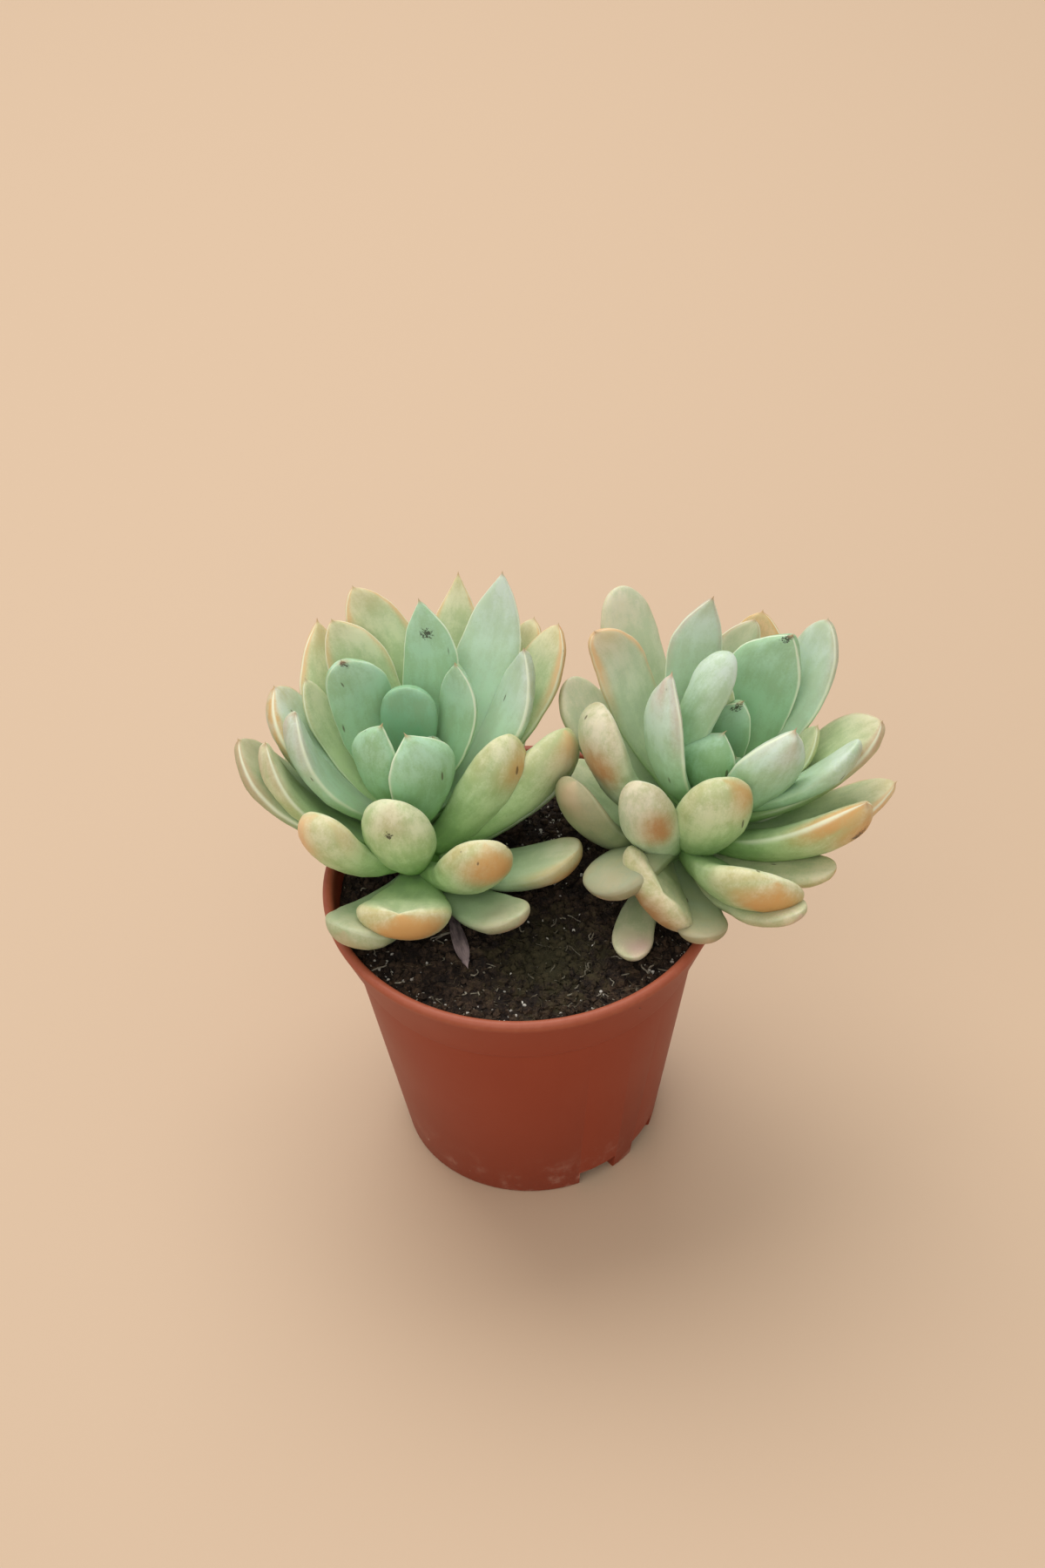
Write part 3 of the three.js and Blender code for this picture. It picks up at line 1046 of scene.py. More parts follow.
    def _paint(self, reach: float, turns: Sequence[float]) -> dict[str, list[Any]]:
        """Attributes of the points at a distance from the root.

        Args:
            reach: Distance from the root along the midrib.
            turns: Angles round the section.

        Returns:
            A row of values for each attribute.
        """
        leaf = self.leaf
        half_width, half_thickness, tip = self.sizes(reach)
        station = min(1.0, reach / leaf.length)
        root, body, end = (linear(code) for code in leaf.skin.value)
        lower = mixed(root, body, between(0.05, 0.55, station))
        skin = mixed(lower, end, between(0.5, 1.0, station) * 0.9)
        clear = self.shape.rim * between(0.12, 0.4, station)
        blush = linear(leaf.blush.value)[:3]
        rows: dict[str, list[Any]] = {key: [] for key in self.ATTRIBUTES}
        for turn in turns:
            above = between(-0.3, 0.5, math.sin(turn))
            rows["skin"].append(skin)
            rows["blush"].append((*blush, leaf.glow * self._warmth(station, turn, above)))
            rows["rim"].append(clear * math.exp(-((math.sin(turn) - 0.05) / 0.2) ** 2))
            rows["point"].append(tip * min(1.0, self.shape.spike))
            rows["bloom"].append(leaf.skin.bloom * (0.7 + 0.3 * above))
            rows["specks"].append(leaf.specks * (0.4 + 0.6 * between(0.3, 0.9, station)))
            rows["blade_space"].append((
                (reach + self.seed * 61) * MILLIMETRE,
                half_width * math.cos(turn) * MILLIMETRE,
                half_thickness * self.bulge(turn, station) * MILLIMETRE,
            ))
            rows["scar_space"].append(self._from_scar(reach, turn, half_width))
        return rows

    def _warmth(self, station: float, turn: float, above: float) -> float:
        """Share of the blush: strongest in its patch, weaker on the end and along the edges.

        Args:
            station: Share of the leaf's length.
            turn: Angle round the section.
            above: Share of the upper face.

        Returns:
            The share.
        """
        spot_station, spot_turn, spread = self.leaf.spot
        off = math.remainder(turn - math.radians(spot_turn), 2 * math.pi)
        patch = math.exp(-((station - spot_station) / self.patch) ** 2 - (off / spread) ** 2)
        ending = between(0.72, 1.0, station)
        margin = between(0.55, 1.0, abs(math.cos(turn))) * between(0.35, 0.9, station)
        edging = 1.0 if self.shape.spike else 0.45
        return max(patch, edging * ending * (0.75 - 0.25 * above), edging * 0.9 * margin)

    def _from_scar(self, reach: float, turn: float, half_width: float) -> Point:
        """Place on the skin from the scar's middle.

        Args:
            reach: Distance from the root along the midrib.
            turn: Angle round the section.
            half_width: Half width of the section.

        Returns:
            The place, in the scar's radii.
        """
        if self.leaf.scar is None:
            return FAR_FROM_SCAR
        station, scar_turn, radius = self.leaf.scar
        off = math.remainder(turn - math.radians(scar_turn), 2 * math.pi)
        return (reach - station * self.leaf.length) / radius, off * half_width / radius, 0.0


@dataclass
class Rosette:
    """One crown of leaves on its short stem."""

    name: str
    node: str
    slot: str
    foot: Point
    heart: Point
    leaves: Sequence[Leaf]
    seed: int
    stem_foot: float = 51.2
    stem_radius: float = 3.3
    stem_sides: int = 24

    def root_of(self, leaf: Leaf) -> Vector:
        """Place where a leaf grows from the crown.

        Args:
            leaf: The leaf.

        Returns:
            The root's place.
        """
        inset = 3.4 - 1.8 * leaf.share
        turn = math.radians(leaf.azimuth)
        middle = Vector(self.foot).lerp(Vector(self.heart), leaf.share)
        return middle + Vector((inset * math.cos(turn), inset * math.sin(turn), 0))

    def build(self, material: bpy.types.Material) -> bpy.types.Object:
        """Makes the rosette and lets it stand for its CAD node.

        Args:
            material: The leaves' material.

        Returns:
            The rosette.
        """
        draft = Draft()
        self._write_stem(draft)
        for i, leaf in enumerate(self.leaves):
            Blade(self.root_of(leaf), leaf, self.seed + i).write(draft)
        obj = draft.build(self.name, material)
        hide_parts(self.node)
        return obj

    def _write_stem(self, draft: Draft) -> None:
        """Adds the stem to a mesh.

        Args:
            draft: The mesh.
        """
        foot = Vector(self.foot)
        heart = Vector(self.heart)
        stations = [
            (Vector((foot.x, foot.y, self.stem_foot)), 1.0),
            (Vector((foot.x, foot.y, foot.z - 3)), 1.0),
            (foot, 1.25),
            (foot.lerp(heart, 0.5), 1.15),
            (heart, 0.8),
            (foot.lerp(heart, 1.1), 0.4),
        ]
        skin = linear(Skin.SAGE.value[0])
        plain = {"skin": skin, "blush": (0.3, 0.2, 0.1, 0.0), "rim": 0.0, "point": 0.0, "bloom": 0.1,
                 "specks": 0.2, "scar_space": FAR_FROM_SCAR}
        previous = None
        for middle, share in stations:
            radius = self.stem_radius * share
            turns = [2 * math.pi * j / self.stem_sides for j in range(self.stem_sides)]
            points = [middle + Vector((radius * math.cos(t), radius * math.sin(t), 0)) for t in turns]
            rows = {key: [value] * self.stem_sides for key, value in plain.items()}
            rows["blade_space"] = [tuple(p * MILLIMETRE) for p in points]
            ring = draft.ring(points, **rows)
            if previous is None:
                self._close(draft, ring, middle, plain, False)
            else:
                draft.bridge(previous, ring, self.stem_sides)
            previous = ring
        self._close(draft, previous, middle, plain, True)

    def _close(self, draft: Draft, ring: int, middle: Vector, plain: dict[str, Any],
               outward: bool) -> None:
        """Closes one end of the stem.

        Args:
            draft: The mesh.
            ring: First point of the end's ring.
            middle: Middle of that end.
            plain: Values of the attributes.
            outward: True at the upper end.
        """
        rows = {key: [value] for key, value in plain.items()}
        rows["blade_space"] = [tuple(middle * MILLIMETRE)]
        draft.cap(ring, draft.ring([middle], **rows), self.stem_sides, outward)


@dataclass
class LooseLeaf:
    """A dead leaf, shrivelled along its length."""

    name: str
    root: Point
    leaf: Leaf
    seed: int
    sides: int = 40
    stations: int = 36

    def build(self, material: bpy.types.Material) -> bpy.types.Object:
        """Makes the leaf.

        Args:
            material: Its material.

        Returns:
            The leaf.
        """
        draft = Draft()
        blade = Blade(Vector(self.root), self.leaf, self.seed, self.sides, self.stations)
        blade.write(draft)
        return draft.build(self.name, material)


KITE, PLAIN, BLUNT, ROUND, DISC = Outline.KITE, Outline.PLAIN, Outline.BLUNT, Outline.ROUND, Outline.DISC
SHADED_HEART, MINT, FROST, LIME, SAGE = Skin.SHADED_HEART, Skin.MINT, Skin.FROST, Skin.LIME, Skin.SAGE
SAND, PALE, AMBER, SHADED_OLIVE = Skin.SAND, Skin.PALE, Skin.AMBER, Skin.SHADED_OLIVE
PEACH, ORANGE, PINK, TAN, RUST = Blush.PEACH, Blush.ORANGE, Blush.PINK, Blush.TAN, Blush.RUST

LEFT_LEAVES = (
    Leaf(1, -160, 80, 10, 5, PLAIN, SHADED_HEART, glow=0),
    Leaf(0.95, 30, 72, 14, 7, PLAIN, MINT, glow=0),
    Leaf(0.95, 82, 77, 23, 10.8, ROUND, SHADED_HEART, glow=0, curl=30),
    Leaf(0.9, -150, 81, 24, 10.5, KITE, MINT, glow=0.1, curl=35, roll=20, skew=0.3),
    Leaf(0.8, -58, 84, 24, 13.5, KITE, MINT, glow=0.15, curl=35, skew=-0.3),
    Leaf(0.9, 40, 70, 31, 9, KITE, MINT, glow=0.05, curl=55, sway=35),
    Leaf(0.9, 129.5, 69, 31.5, 12, BLUNT, MINT, glow=0.1, curl=60, roll=-15, skew=0.45,
         scar=(0.99, 90, 1.1)),
    Leaf(0.8, 26, 52, 39, 12, KITE, FROST, PINK, 0.3, curl=65, roll=-5),
    Leaf(0.9, 76, 61, 38.5, 10.8, KITE, MINT, glow=0.1, curl=40, sway=25, skew=0.35, specks=0.3,
         scar=(0.84, 90, 1.6)),
    Leaf(0.7, 172, 55, 33, 12, PLAIN, FROST, PINK, 0.4, curl=75, roll=20),
    Leaf(0.85, 54, 50, 47, 12, KITE, FROST, PINK, 0.25, sway=20, roll=10, specks=0.25),
    Leaf(0.4, 7, 58, 29, 13, DISC, LIME, ORANGE, 0.6, roll=-65, thickness=8, spot=(0.82, -60, 1.1)),
    Leaf(0.3, -106, 71, 23.8, 14, DISC, LIME, TAN, 0.4, curl=30, thickness=8, scar=(0.82, -90, 1.0)),
    Leaf(0.8, 116, 51, 38.5, 12, PLAIN, LIME, PEACH, 0.6, sway=25, roll=-15, skew=0.45),
    Leaf(0.4, 11, 40, 35.5, 13.5, ROUND, LIME, PEACH, 0.55, curl=55, roll=-60, thickness=7.5),
    Leaf(0.3, -148, 50, 27.5, 12.5, ROUND, LIME, PEACH, 0.9, curl=60, roll=25, thickness=7,
         skew=0.1, spot=(0.85, -140, 1.0)),
    Leaf(0.6, 150, 43, 36, 15, PLAIN, FROST, ORANGE, 0.7, roll=15),
    Leaf(0.7, 104, 48, 45.5, 13, PLAIN, LIME, PEACH, 0.75, sway=35, skew=0.5),
    Leaf(0.6, 76, 38, 49, 11.5, KITE, LIME, PEACH, 0.7, sway=15, specks=0.3),
    Leaf(0.7, 35, 41.5, 45, 12, PLAIN, LIME, PEACH, 0.75),
    Leaf(0.6, 48, 39, 44.5, 11.5, PLAIN, LIME, PEACH, 0.75),
    Leaf(0.55, 123, 41, 43, 14, KITE, LIME, PEACH, 0.75, skew=-0.3),
    Leaf(0.65, 143, 50, 33, 7, PLAIN, LIME, PEACH, 0.3),
    Leaf(0.4, 173, 45, 36, 11, PLAIN, LIME, TAN, 0.5, curl=80, roll=20),
    Leaf(0.35, 163, 33, 38, 14, PLAIN, SAGE, TAN, 0.6, curl=60, roll=10),
    Leaf(0.2, -50, 47, 26, 13, ROUND, LIME, ORANGE, 0.85, curl=65, roll=-35, thickness=7,
         spot=(0.86, -70, 1.2)),
    Leaf(0.15, -16, 19, 30, 13.5, ROUND, SAGE, ORANGE, 0.9, curl=40, roll=-10, spot=(0.85, -70, 1.8)),
    Leaf(0.1, -97, 29, 24.5, 17, ROUND, LIME, ORANGE, 0.9, curl=40, thickness=7.5,
         spot=(0.92, -70, 1.5), notch=0.5),
    Leaf(0.05, -119, 20, 25.5, 13.5, ROUND, SAGE, TAN, 0.4),
    Leaf(0.1, -50, 17, 27.5, 10.5, ROUND, SAGE, TAN, 0.8, spot=(0.85, -70, 1.5)),
    Leaf(0.2, 33, 19, 36, 12.5, PLAIN, LIME, TAN, curl=30),
    Leaf(0.25, 57, 17, 35, 12, PLAIN, LIME, ORANGE, curl=35),
    Leaf(0.3, 90, 24, 37, 12.5, PLAIN, LIME, curl=35),
    Leaf(0.25, 114, 23, 35, 12, PLAIN, LIME, curl=35),
    Leaf(0.2, 139, 21, 32, 11.5, PLAIN, SAGE, ORANGE, 0.4, curl=35),
)

RIGHT_LEAVES = (
    Leaf(1, -49, 78, 10, 4.5, PLAIN, SHADED_HEART, glow=0, specks=0.4),
    Leaf(0.95, 71, 82, 19, 10, KITE, MINT, RUST, 0.2, curl=30, specks=0.4, skew=-0.6,
         scar=(0.95, 90, 1.4)),
    Leaf(0.9, -122, 86, 19, 11.5, KITE, MINT, glow=0.05, curl=30, skew=0.5),
    Leaf(0.8, -35, 63, 27, 13, KITE, FROST, PINK, 0.35, curl=40, roll=-45, thickness=6.5, skew=0.4),
    Leaf(0.9, 186, 99, 33, 9, ROUND, FROST, glow=0.1, curl=60, sway=70, thickness=6.5),
    Leaf(0.8, 205, 80.5, 34, 12, KITE, FROST, PINK, 0.5, curl=55, specks=0.2, skew=-0.3),
    Leaf(0.85, 40, 65, 35.5, 15, KITE, MINT, RUST, 0.1, sway=-45, roll=25, specks=0.35, skew=-0.6,
         scar=(0.98, 80, 1.4)),
    Leaf(0.8, -15, 38, 32, 10.5, ROUND, FROST, TAN, 0.3, roll=-15, specks=0.25),
    Leaf(0.4, -70, 66, 27, 14.6, DISC, LIME, ORANGE, 0.6, curl=25, roll=-10, thickness=9,
         spot=(0.88, -30, 0.9)),
    Leaf(0.3, -125, 66, 27.8, 11.5, DISC, PALE, RUST, 0.75, curl=30, roll=10, thickness=8.5,
         spot=(0.72, -50, 0.8)),
    Leaf(0.5, 174, 64, 32.5, 14, ROUND, PALE, RUST, 0.75, curl=60, roll=28, thickness=7.5,
         spot=(0.7, -60, 0.9)),
    Leaf(0.7, 138, 61.5, 40.5, 12, BLUNT, PALE, PEACH, 0.9, roll=-5, skew=0.8),
    Leaf(0.75, 93, 73, 41, 10.5, KITE, FROST, PINK, 0.5, curl=40, sway=-25, skew=-0.6),
    Leaf(0.75, 33, 51, 41, 12.3, PLAIN, FROST, TAN, 0.4, specks=0.25),
    Leaf(0.6, 8, 34, 38, 15, PLAIN, LIME, TAN, 0.7, roll=-5, skew=-0.5),
    Leaf(0.4, -22, 29, 36, 16, PLAIN, LIME, ORANGE, 0.75, curl=50, roll=-35, thickness=7.5,
         spot=(0.9, -75, 1.2),
         scar=(0.86, -80, 2.4)),
    Leaf(0.35, 4, 13, 38.5, 12.5, PLAIN, LIME, PEACH, 0.75, curl=40, roll=-10),
    Leaf(0.65, 116, 49, 44.5, 12, ROUND, PALE, PEACH, 0.6),
    Leaf(0.7, 71, 57, 36, 10.5, PLAIN, PALE, TAN, 0.6, skew=-0.7),
    Leaf(0.6, 62, 45, 39.5, 14, PLAIN, AMBER, ORANGE, 0.6),
    Leaf(0.5, 141, 40, 34.6, 11.5, ROUND, PALE, PEACH, 0.6),
    Leaf(0.3, -170, 48, 27.5, 13, ROUND, SHADED_OLIVE, TAN, 0.5, curl=80, roll=30),
    Leaf(0.25, -129, 17, 25, 14, ROUND, SHADED_OLIVE, TAN, 0.6, curl=-60, roll=20),
    Leaf(0.15, -102, 32, 22.5, 19, ROUND, SAND, RUST, 0.7, roll=-46, thickness=7, skew=0.2,
         spot=(0.85, -70, 1.1), notch=0.35),
    Leaf(0.08, -107, 2, 26, 7.6, ROUND, SAND, PINK, 0.6, curl=30, sway=40, spot=(0.9, 60, 1.5)),
    Leaf(0.2, -83, 11, 27, 9.5, ROUND, SHADED_OLIVE, TAN, 0.5, curl=35),
    Leaf(0.3, -63, 29, 33.5, 17, ROUND, LIME, ORANGE, 0.8, roll=-38, thickness=7.5,
         spot=(0.9, -70, 1.3)),
    Leaf(0.15, -57, 21, 36, 10, ROUND, SAND, PINK, 0.5, curl=35),
    Leaf(0.3, -32, 13, 29.5, 9, ROUND, SAND, ORANGE, 0.55, curl=35),
    Leaf(0.5, 10, 43, 29, 8, PLAIN, LIME, PEACH),
    Leaf(0.8, 82, 84, 28, 8, PLAIN, LIME, PEACH),
    Leaf(0.2, 26, 22, 34, 12, PLAIN, LIME, curl=30),
    Leaf(0.25, 54, 24, 35, 12, PLAIN, LIME, ORANGE, curl=35),
    Leaf(0.25, 82, 26, 35, 12, PLAIN, LIME, curl=35),
    Leaf(0.25, 110, 26, 34, 12, PLAIN, SAGE, curl=35),
    Leaf(0.2, 130, 5, 27, 12, PLAIN, LIME, curl=30),
)

DRIED_LEAF = Leaf(0.4, 152, 40, 18, 3.6, PLAIN, SAND, glow=0, curl=10, roll=40)
WITHERED_ROOT = (-13.6, -5.5, 59.3)
WITHERED_LEAF = Leaf(0, -78, 1, 14, 2.8, KITE, SAND, glow=0, curl=-8, thickness=1.2)


# Pot


@dataclass
class Pot:
    """Moulded pot with a collar, a rounded lip and drainage pockets round its base."""

    height: float = 62.7
    rim_radius: float = 37.5
    base_radius: float = 25.4
    collar_height: float = 13.0
    collar_radius: float = 33.3
    ledge: float = 0.5
    wall: float = 1.1
    floor: float = 1.6
    pocket_starts: tuple[float, ...] = (-70, -41, 110, 139)
    pocket_span: float = 18.0
    pocket_depth: float = 5.0
    pocket_height: float = 4.0
    drain_radius: float = 1.5
    drain_place: float = 0.58
    drain_sides: int = 24
    sides: int = 192
    sharp_angle: float = 38.0

    @property
    def collar_foot(self) -> float:
        """Height of the collar's lower edge."""
        return self.height - self.collar_height

    @property
    def collar_inner(self) -> float:
        """Inner radius at the collar's lower edge."""
        return self.collar_radius - self.wall

    @property
    def body_inner(self) -> float:
        """Inner radius just under the collar."""
        return self.collar_radius - self.ledge - self.wall

    @property
    def rim_inner(self) -> float:
        """Inner radius of the lip."""
        return self.rim_radius - 2

    @property
    def base_inner(self) -> float:
        """Inner radius of the floor."""
        return self.base_radius - self.wall + 0.2

    def profile(self) -> list[tuple[float, float]]:
        """Radius and height of the wall's section, from the underside round to the floor.

        Returns:
            The profile's points.
        """
        top = self.height
        foot = self.collar_foot
        lip = [
            (self.rim_radius - 0.45, top - 2.3), (self.rim_radius - 0.22, top - 1.75),
            (self.rim_radius - 0.03, top - 1.2), (self.rim_radius, top - 0.8),
            (self.rim_radius - 0.12, top - 0.42), (self.rim_radius - 0.38, top - 0.14),
            (self.rim_radius - 0.8, top), (self.rim_inner + 0.75, top - 0.03),
            (self.rim_inner + 0.4, top - 0.18), (self.rim_inner + 0.12, top - 0.5),
            (self.rim_inner - 0.05, top - 1.0), (self.rim_inner - 0.25, top - 2.0),
        ]
        under = [
            (0, 0), (self.base_radius - 0.7, 0), (self.base_radius - 0.25, 0.1), (self.base_radius, 0.4),
        ]
        collar = [
            (self.collar_radius - self.ledge - 0.06, foot - 0.9),
            (self.collar_radius - self.ledge + 0.02, foot - 0.35),
            (self.collar_radius - 0.18, foot - 0.12), (self.collar_radius, foot + 0.15),
            (self.collar_radius + 0.08, foot + 0.6),
        ]
        inside = [
            (self.collar_inner, foot + 0.2), (self.body_inner, foot - 0.6),
            (self.base_inner + 0.2, self.floor + 0.4), (self.base_inner - 0.3, self.floor),
            (0, self.floor),
        ]
        return under + collar + lip + inside

    def sector(self, start: float, margin: float, bottom: float, top: float, outer: float) -> Draft:
        """Ring sector that holds one pocket.

        Args:
            start: Azimuth at which the pocket starts.
            margin: Distance by which it is larger all round.
            bottom: Lowest height.
            top: Greatest height.
            outer: Outer radius.

        Returns:
            The closed mesh.
        """
        inner = self.base_radius - self.pocket_depth - margin
        spread = margin / (self.base_radius - self.pocket_depth)
        first = math.radians(start) - spread
        last = math.radians(start + self.pocket_span) + spread
        steps = 10
        turns = [first + (last - first) * i / steps for i in range(steps + 1)]
        plan = [(outer, t) for t in turns] + [(inner, t) for t in reversed(turns)]
        draft = Draft()
        rings = [draft.ring([Vector((r * math.cos(t), r * math.sin(t), z)) for r, t in plan])
                 for z in (bottom, top)]
        draft.bridge(rings[0], rings[1], len(plan))
        for i in range(steps):
            corners = (i, i + 1, len(plan) - 2 - i, len(plan) - 1 - i)
            draft.faces.append(tuple(rings[0] + c for c in reversed(corners)))
            draft.faces.append(tuple(rings[1] + c for c in corners))
        return draft

    def drain(self, start: float) -> Draft:
        """Round hole through one pocket's roof.

        Args:
            start: Azimuth at which the pocket starts.

        Returns:
            The closed mesh.
        """
        middle = math.radians(start + self.pocket_span / 2)
        away = self.base_radius - self.pocket_depth * self.drain_place
        place = Vector((away * math.cos(middle), away * math.sin(middle), 0))
        bottom = 1
        top = self.pocket_height + 3
        draft = lathe([(0, bottom), (self.drain_radius, bottom), (self.drain_radius, top), (0, top)],
                      self.drain_sides)
        draft.points = [point + place for point in draft.points]
        return draft

    def build(self, material: bpy.types.Material) -> bpy.types.Object:
        """Makes the pot and lets it stand for its CAD node.

        Args:
            material: The pot's material.

        Returns:
            The pot.
        """
        body = lathe(self.profile(), self.sides).build("pot_draft", material)
        roof = self.pocket_height + self.wall
        for start in self.pocket_starts:
            box = self.sector(start, self.wall, self.floor - 0.5, roof, self.base_radius - 0.5)
            self._cut(body, box, "UNION")
        for start in self.pocket_starts:
            hollow = self.sector(start, 0, -1, self.pocket_height, self.base_radius + 5)
            self._cut(body, hollow, "DIFFERENCE")
            self._cut(body, self.drain(start), "DIFFERENCE")
        pot = flatten(body, "nursery_pot")
        mesh = pot.data
        # The lip attribute marks the top of the lip, where the material paints a highlight.
        lip = mesh.attributes.new("lip", "FLOAT", "POINT")
        for vertex, value in zip(mesh.vertices, lip.data):
            value.value = between(self.height - 2.4, self.height - 0.6, vertex.co.z / MILLIMETRE)
        mesh.shade_smooth()
        mesh.set_sharp_from_angle(angle=math.radians(self.sharp_angle))
        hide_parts("pot")
        return pot

    def _cut(self, body: bpy.types.Object, tool: Draft, operation: str) -> None:
        """Joins a tool to the body or cuts it out of it.

        Args:
            body: The body.
            tool: The tool's mesh.
            operation: "UNION" or "DIFFERENCE".
        """
        cutter = tool.build("tool", body.data.materials[0])
        step = body.modifiers.new("cut", "BOOLEAN")
        step.operation = operation
        step.solver = "EXACT"
        step.object = cutter
        graph = bpy.context.evaluated_depsgraph_get()
        mesh = bpy.data.meshes.new_from_object(body.evaluated_get(graph), depsgraph=graph)
        body.modifiers.remove(step)
        body.data = mesh
        bpy.data.objects.remove(cutter)


# Soil


@dataclass
class Scatter:
    """Grains strewn over the soil's surface by Geometry Nodes.

    Attributes:
        name: The finished mesh's name.
        density: Grains per square millimetre where the ground's share is 1.
        smallest: Least size.
        largest: Greatest size.
        seed: Seed of the first random draw.
        field_name: Name of the ground's attribute that holds the share.
        lumpiness: Unevenness of a grain, as a share of the greatest size.
    """

    name: str
    density: float
    smallest: float
    largest: float
    seed: int
    field_name: str
    lumpiness: float = 0.35

    def tree(self, material: bpy.types.Material) -> tuple[bpy.types.NodeTree, dict[str, str]]:
        """Builds the node tree that strews the pieces.

        Args:
            material: Their material.

        Returns:
            The tree, and each input's identifier by its name.
        """
        group = bpy.data.node_groups.new(f"{self.name}_tree", "GeometryNodeTree")
        names = open_interface(group, ("Density", "Smallest", "Largest"))
        graph = Graph(group)
        inputs = graph.add("NodeGroupInput")
        ground = Channel(graph, inputs.outputs[0])
        density, smallest, largest = (Channel(graph, inputs.outputs[name]) for name in names)
        kind = {"data_type": "FLOAT"}
        share = graph.out("GeometryNodeInputNamedAttribute", kind, {"Name": self.field_name})
        points = graph.out("GeometryNodeDistributePointsOnFaces", {},
                           {"Mesh": ground, "Density": share * density, "Seed": self.seed})
        shapes = self.shapes(graph, points, smallest, largest)
        dressed = graph.out("GeometryNodeSetMaterial", {}, {"Geometry": shapes, "Material": material})
        graph.add("NodeGroupOutput", {}, {0: dressed})
        return group, names

    def shapes(self, graph: Graph, points: Channel, smallest: Channel, largest: Channel) -> Channel:
        """Puts a lumpy grain on each point.

        Args:
            graph: The tree's graph.
            points: The strewn points.
            smallest: Least size.
            largest: Greatest size.

        Returns:
            The grains.
        """
        counts = {"Vertices X": 3, "Vertices Y": 3, "Vertices Z": 3}
        cube = graph.out("GeometryNodeMeshCube", {}, {"Size": (1.0, 1.0, 1.0), **counts})
        place = graph.out("GeometryNodeInputPosition")
        ball = graph.out("GeometryNodeSetPosition", {},
                         {"Geometry": cube, "Position": graph.vector("NORMALIZE", place)})
        size = self.random(graph, "FLOAT", smallest, largest, self.seed + 1)
        stretch = self.random(graph, "FLOAT_VECTOR", (0.55, 0.55, 0.4), (1.0, 1.0, 0.8), self.seed + 2)
        turn = self.random(graph, "FLOAT_VECTOR", (0.0, 0.0, 0.0), (WHOLE_TURN,) * 3, self.seed + 3)
        scale = graph.out("ShaderNodeVectorMath", {"operation": "SCALE"}, {0: stretch, "Scale": size})
        grains = graph.out("GeometryNodeInstanceOnPoints", {},
                           {"Points": points, "Instance": ball, "Rotation": turn, "Scale": scale})
        whole = graph.out("GeometryNodeRealizeInstances", {}, {"Geometry": grains})
        ripples = {"Vector": place, "Scale": 900.0, "Detail": 2.0}
        wave = graph.out("ShaderNodeTexNoise", {}, ripples, "Color")
        shift = graph.vector("SUBTRACT", wave, (0.5, 0.5, 0.5))
        offset = graph.out("ShaderNodeVectorMath", {"operation": "SCALE"},
                           {0: shift, "Scale": largest * (4 * self.lumpiness)})
        return graph.out("GeometryNodeSetPosition", {}, {"Geometry": whole, "Offset": offset})

    @staticmethod
    def random(graph: Graph, kind: str, low: Any, high: Any, seed: int) -> Channel:
        """A random number or vector for each point.

        Args:
            graph: The tree's graph.
            kind: "FLOAT" or "FLOAT_VECTOR".
            low: Lowest value.
            high: Greatest value.
            seed: Seed of the draw.

        Returns:
            The value.
        """
        tail = "_001" if kind == "FLOAT" else ""
        inputs = {f"Min{tail}": low, f"Max{tail}": high, "Seed": seed}
        return graph.out("FunctionNodeRandomValue", {"data_type": kind}, inputs, f"Value{tail}")

    def build(self, ground: bpy.types.Object, material: bpy.types.Material) -> bpy.types.Object:
        """Strews the pieces over the ground and makes them one plain mesh.

        Args:
            ground: The soil's surface.
            material: Their material.

        Returns:
            The plain mesh's object.
        """
        carrier = bpy.data.objects.new(f"{self.name}_draft", ground.data.copy())
        bpy.context.scene.collection.objects.link(carrier)
        step = carrier.modifiers.new("strew", "NODES")
        step.node_group, names = self.tree(material)
        step[names["Density"]] = self.density / MILLIMETRE ** 2
        step[names["Smallest"]] = self.smallest * MILLIMETRE
        step[names["Largest"]] = self.largest * MILLIMETRE
        return flatten(carrier, self.name)


@dataclass
class Fibres(Scatter):
    """Thin bent fibres lying over the soil.

    Attributes:
        bend: Greatest bend to each side.
        radius: Radius of a fibre.
        tilt: Greatest tilt in radians.
    """

    bend: float = 1.6
    radius: float = 0.06
    tilt: float = 0.3

    def shapes(self, graph: Graph, points: Channel, smallest: Channel, largest: Channel) -> Channel:
        """Lays a bent fibre on each point.

        Args:
            graph: The tree's graph.
            points: The strewn points.
            smallest: Least length.
            largest: Greatest length.

        Returns:
            The fibres.
        """
        ends = {"Start": (-0.5, 0.0, 0.0), "End": (0.5, 0.0, 0.0)}
        line = graph.out("GeometryNodeCurvePrimitiveLine", {}, ends)
        fine = graph.out("GeometryNodeResampleCurve", {}, {"Curve": line, "Count": 8})
        most = (self.tilt, self.tilt, WHOLE_TURN)
        turn = self.random(graph, "FLOAT_VECTOR", (-self.tilt, -self.tilt, 0.0), most, self.seed + 3)
        size = self.random(graph, "FLOAT", smallest, largest, self.seed + 1)
        laid = graph.out("GeometryNodeInstanceOnPoints", {},
                         {"Points": points, "Instance": fine, "Rotation": turn, "Scale": size})
        whole = graph.out("GeometryNodeRealizeInstances", {}, {"Geometry": laid})
        place = graph.out("GeometryNodeInputPosition")
        ripples = {"Vector": place, "Scale": 420.0, "Detail": 1.0}
        wave = graph.out("ShaderNodeTexNoise", {}, ripples, "Color")
        sideways = 4 * self.bend * MILLIMETRE
        upwards = 2 * MILLIMETRE
        shift = graph.vector("MULTIPLY", graph.vector("SUBTRACT", wave, (0.5, 0.5, 0.42)),
                             (sideways, sideways, upwards))
        bent = graph.out("GeometryNodeSetPosition", {}, {"Geometry": whole, "Offset": shift})
        section = {"Resolution": 3, "Radius": self.radius * MILLIMETRE}
        ring = graph.out("GeometryNodeCurvePrimitiveCircle", {}, section)
        return graph.out("GeometryNodeCurveToMesh", {},
                         {"Curve": bent, "Profile Curve": ring, "Fill Caps": True})


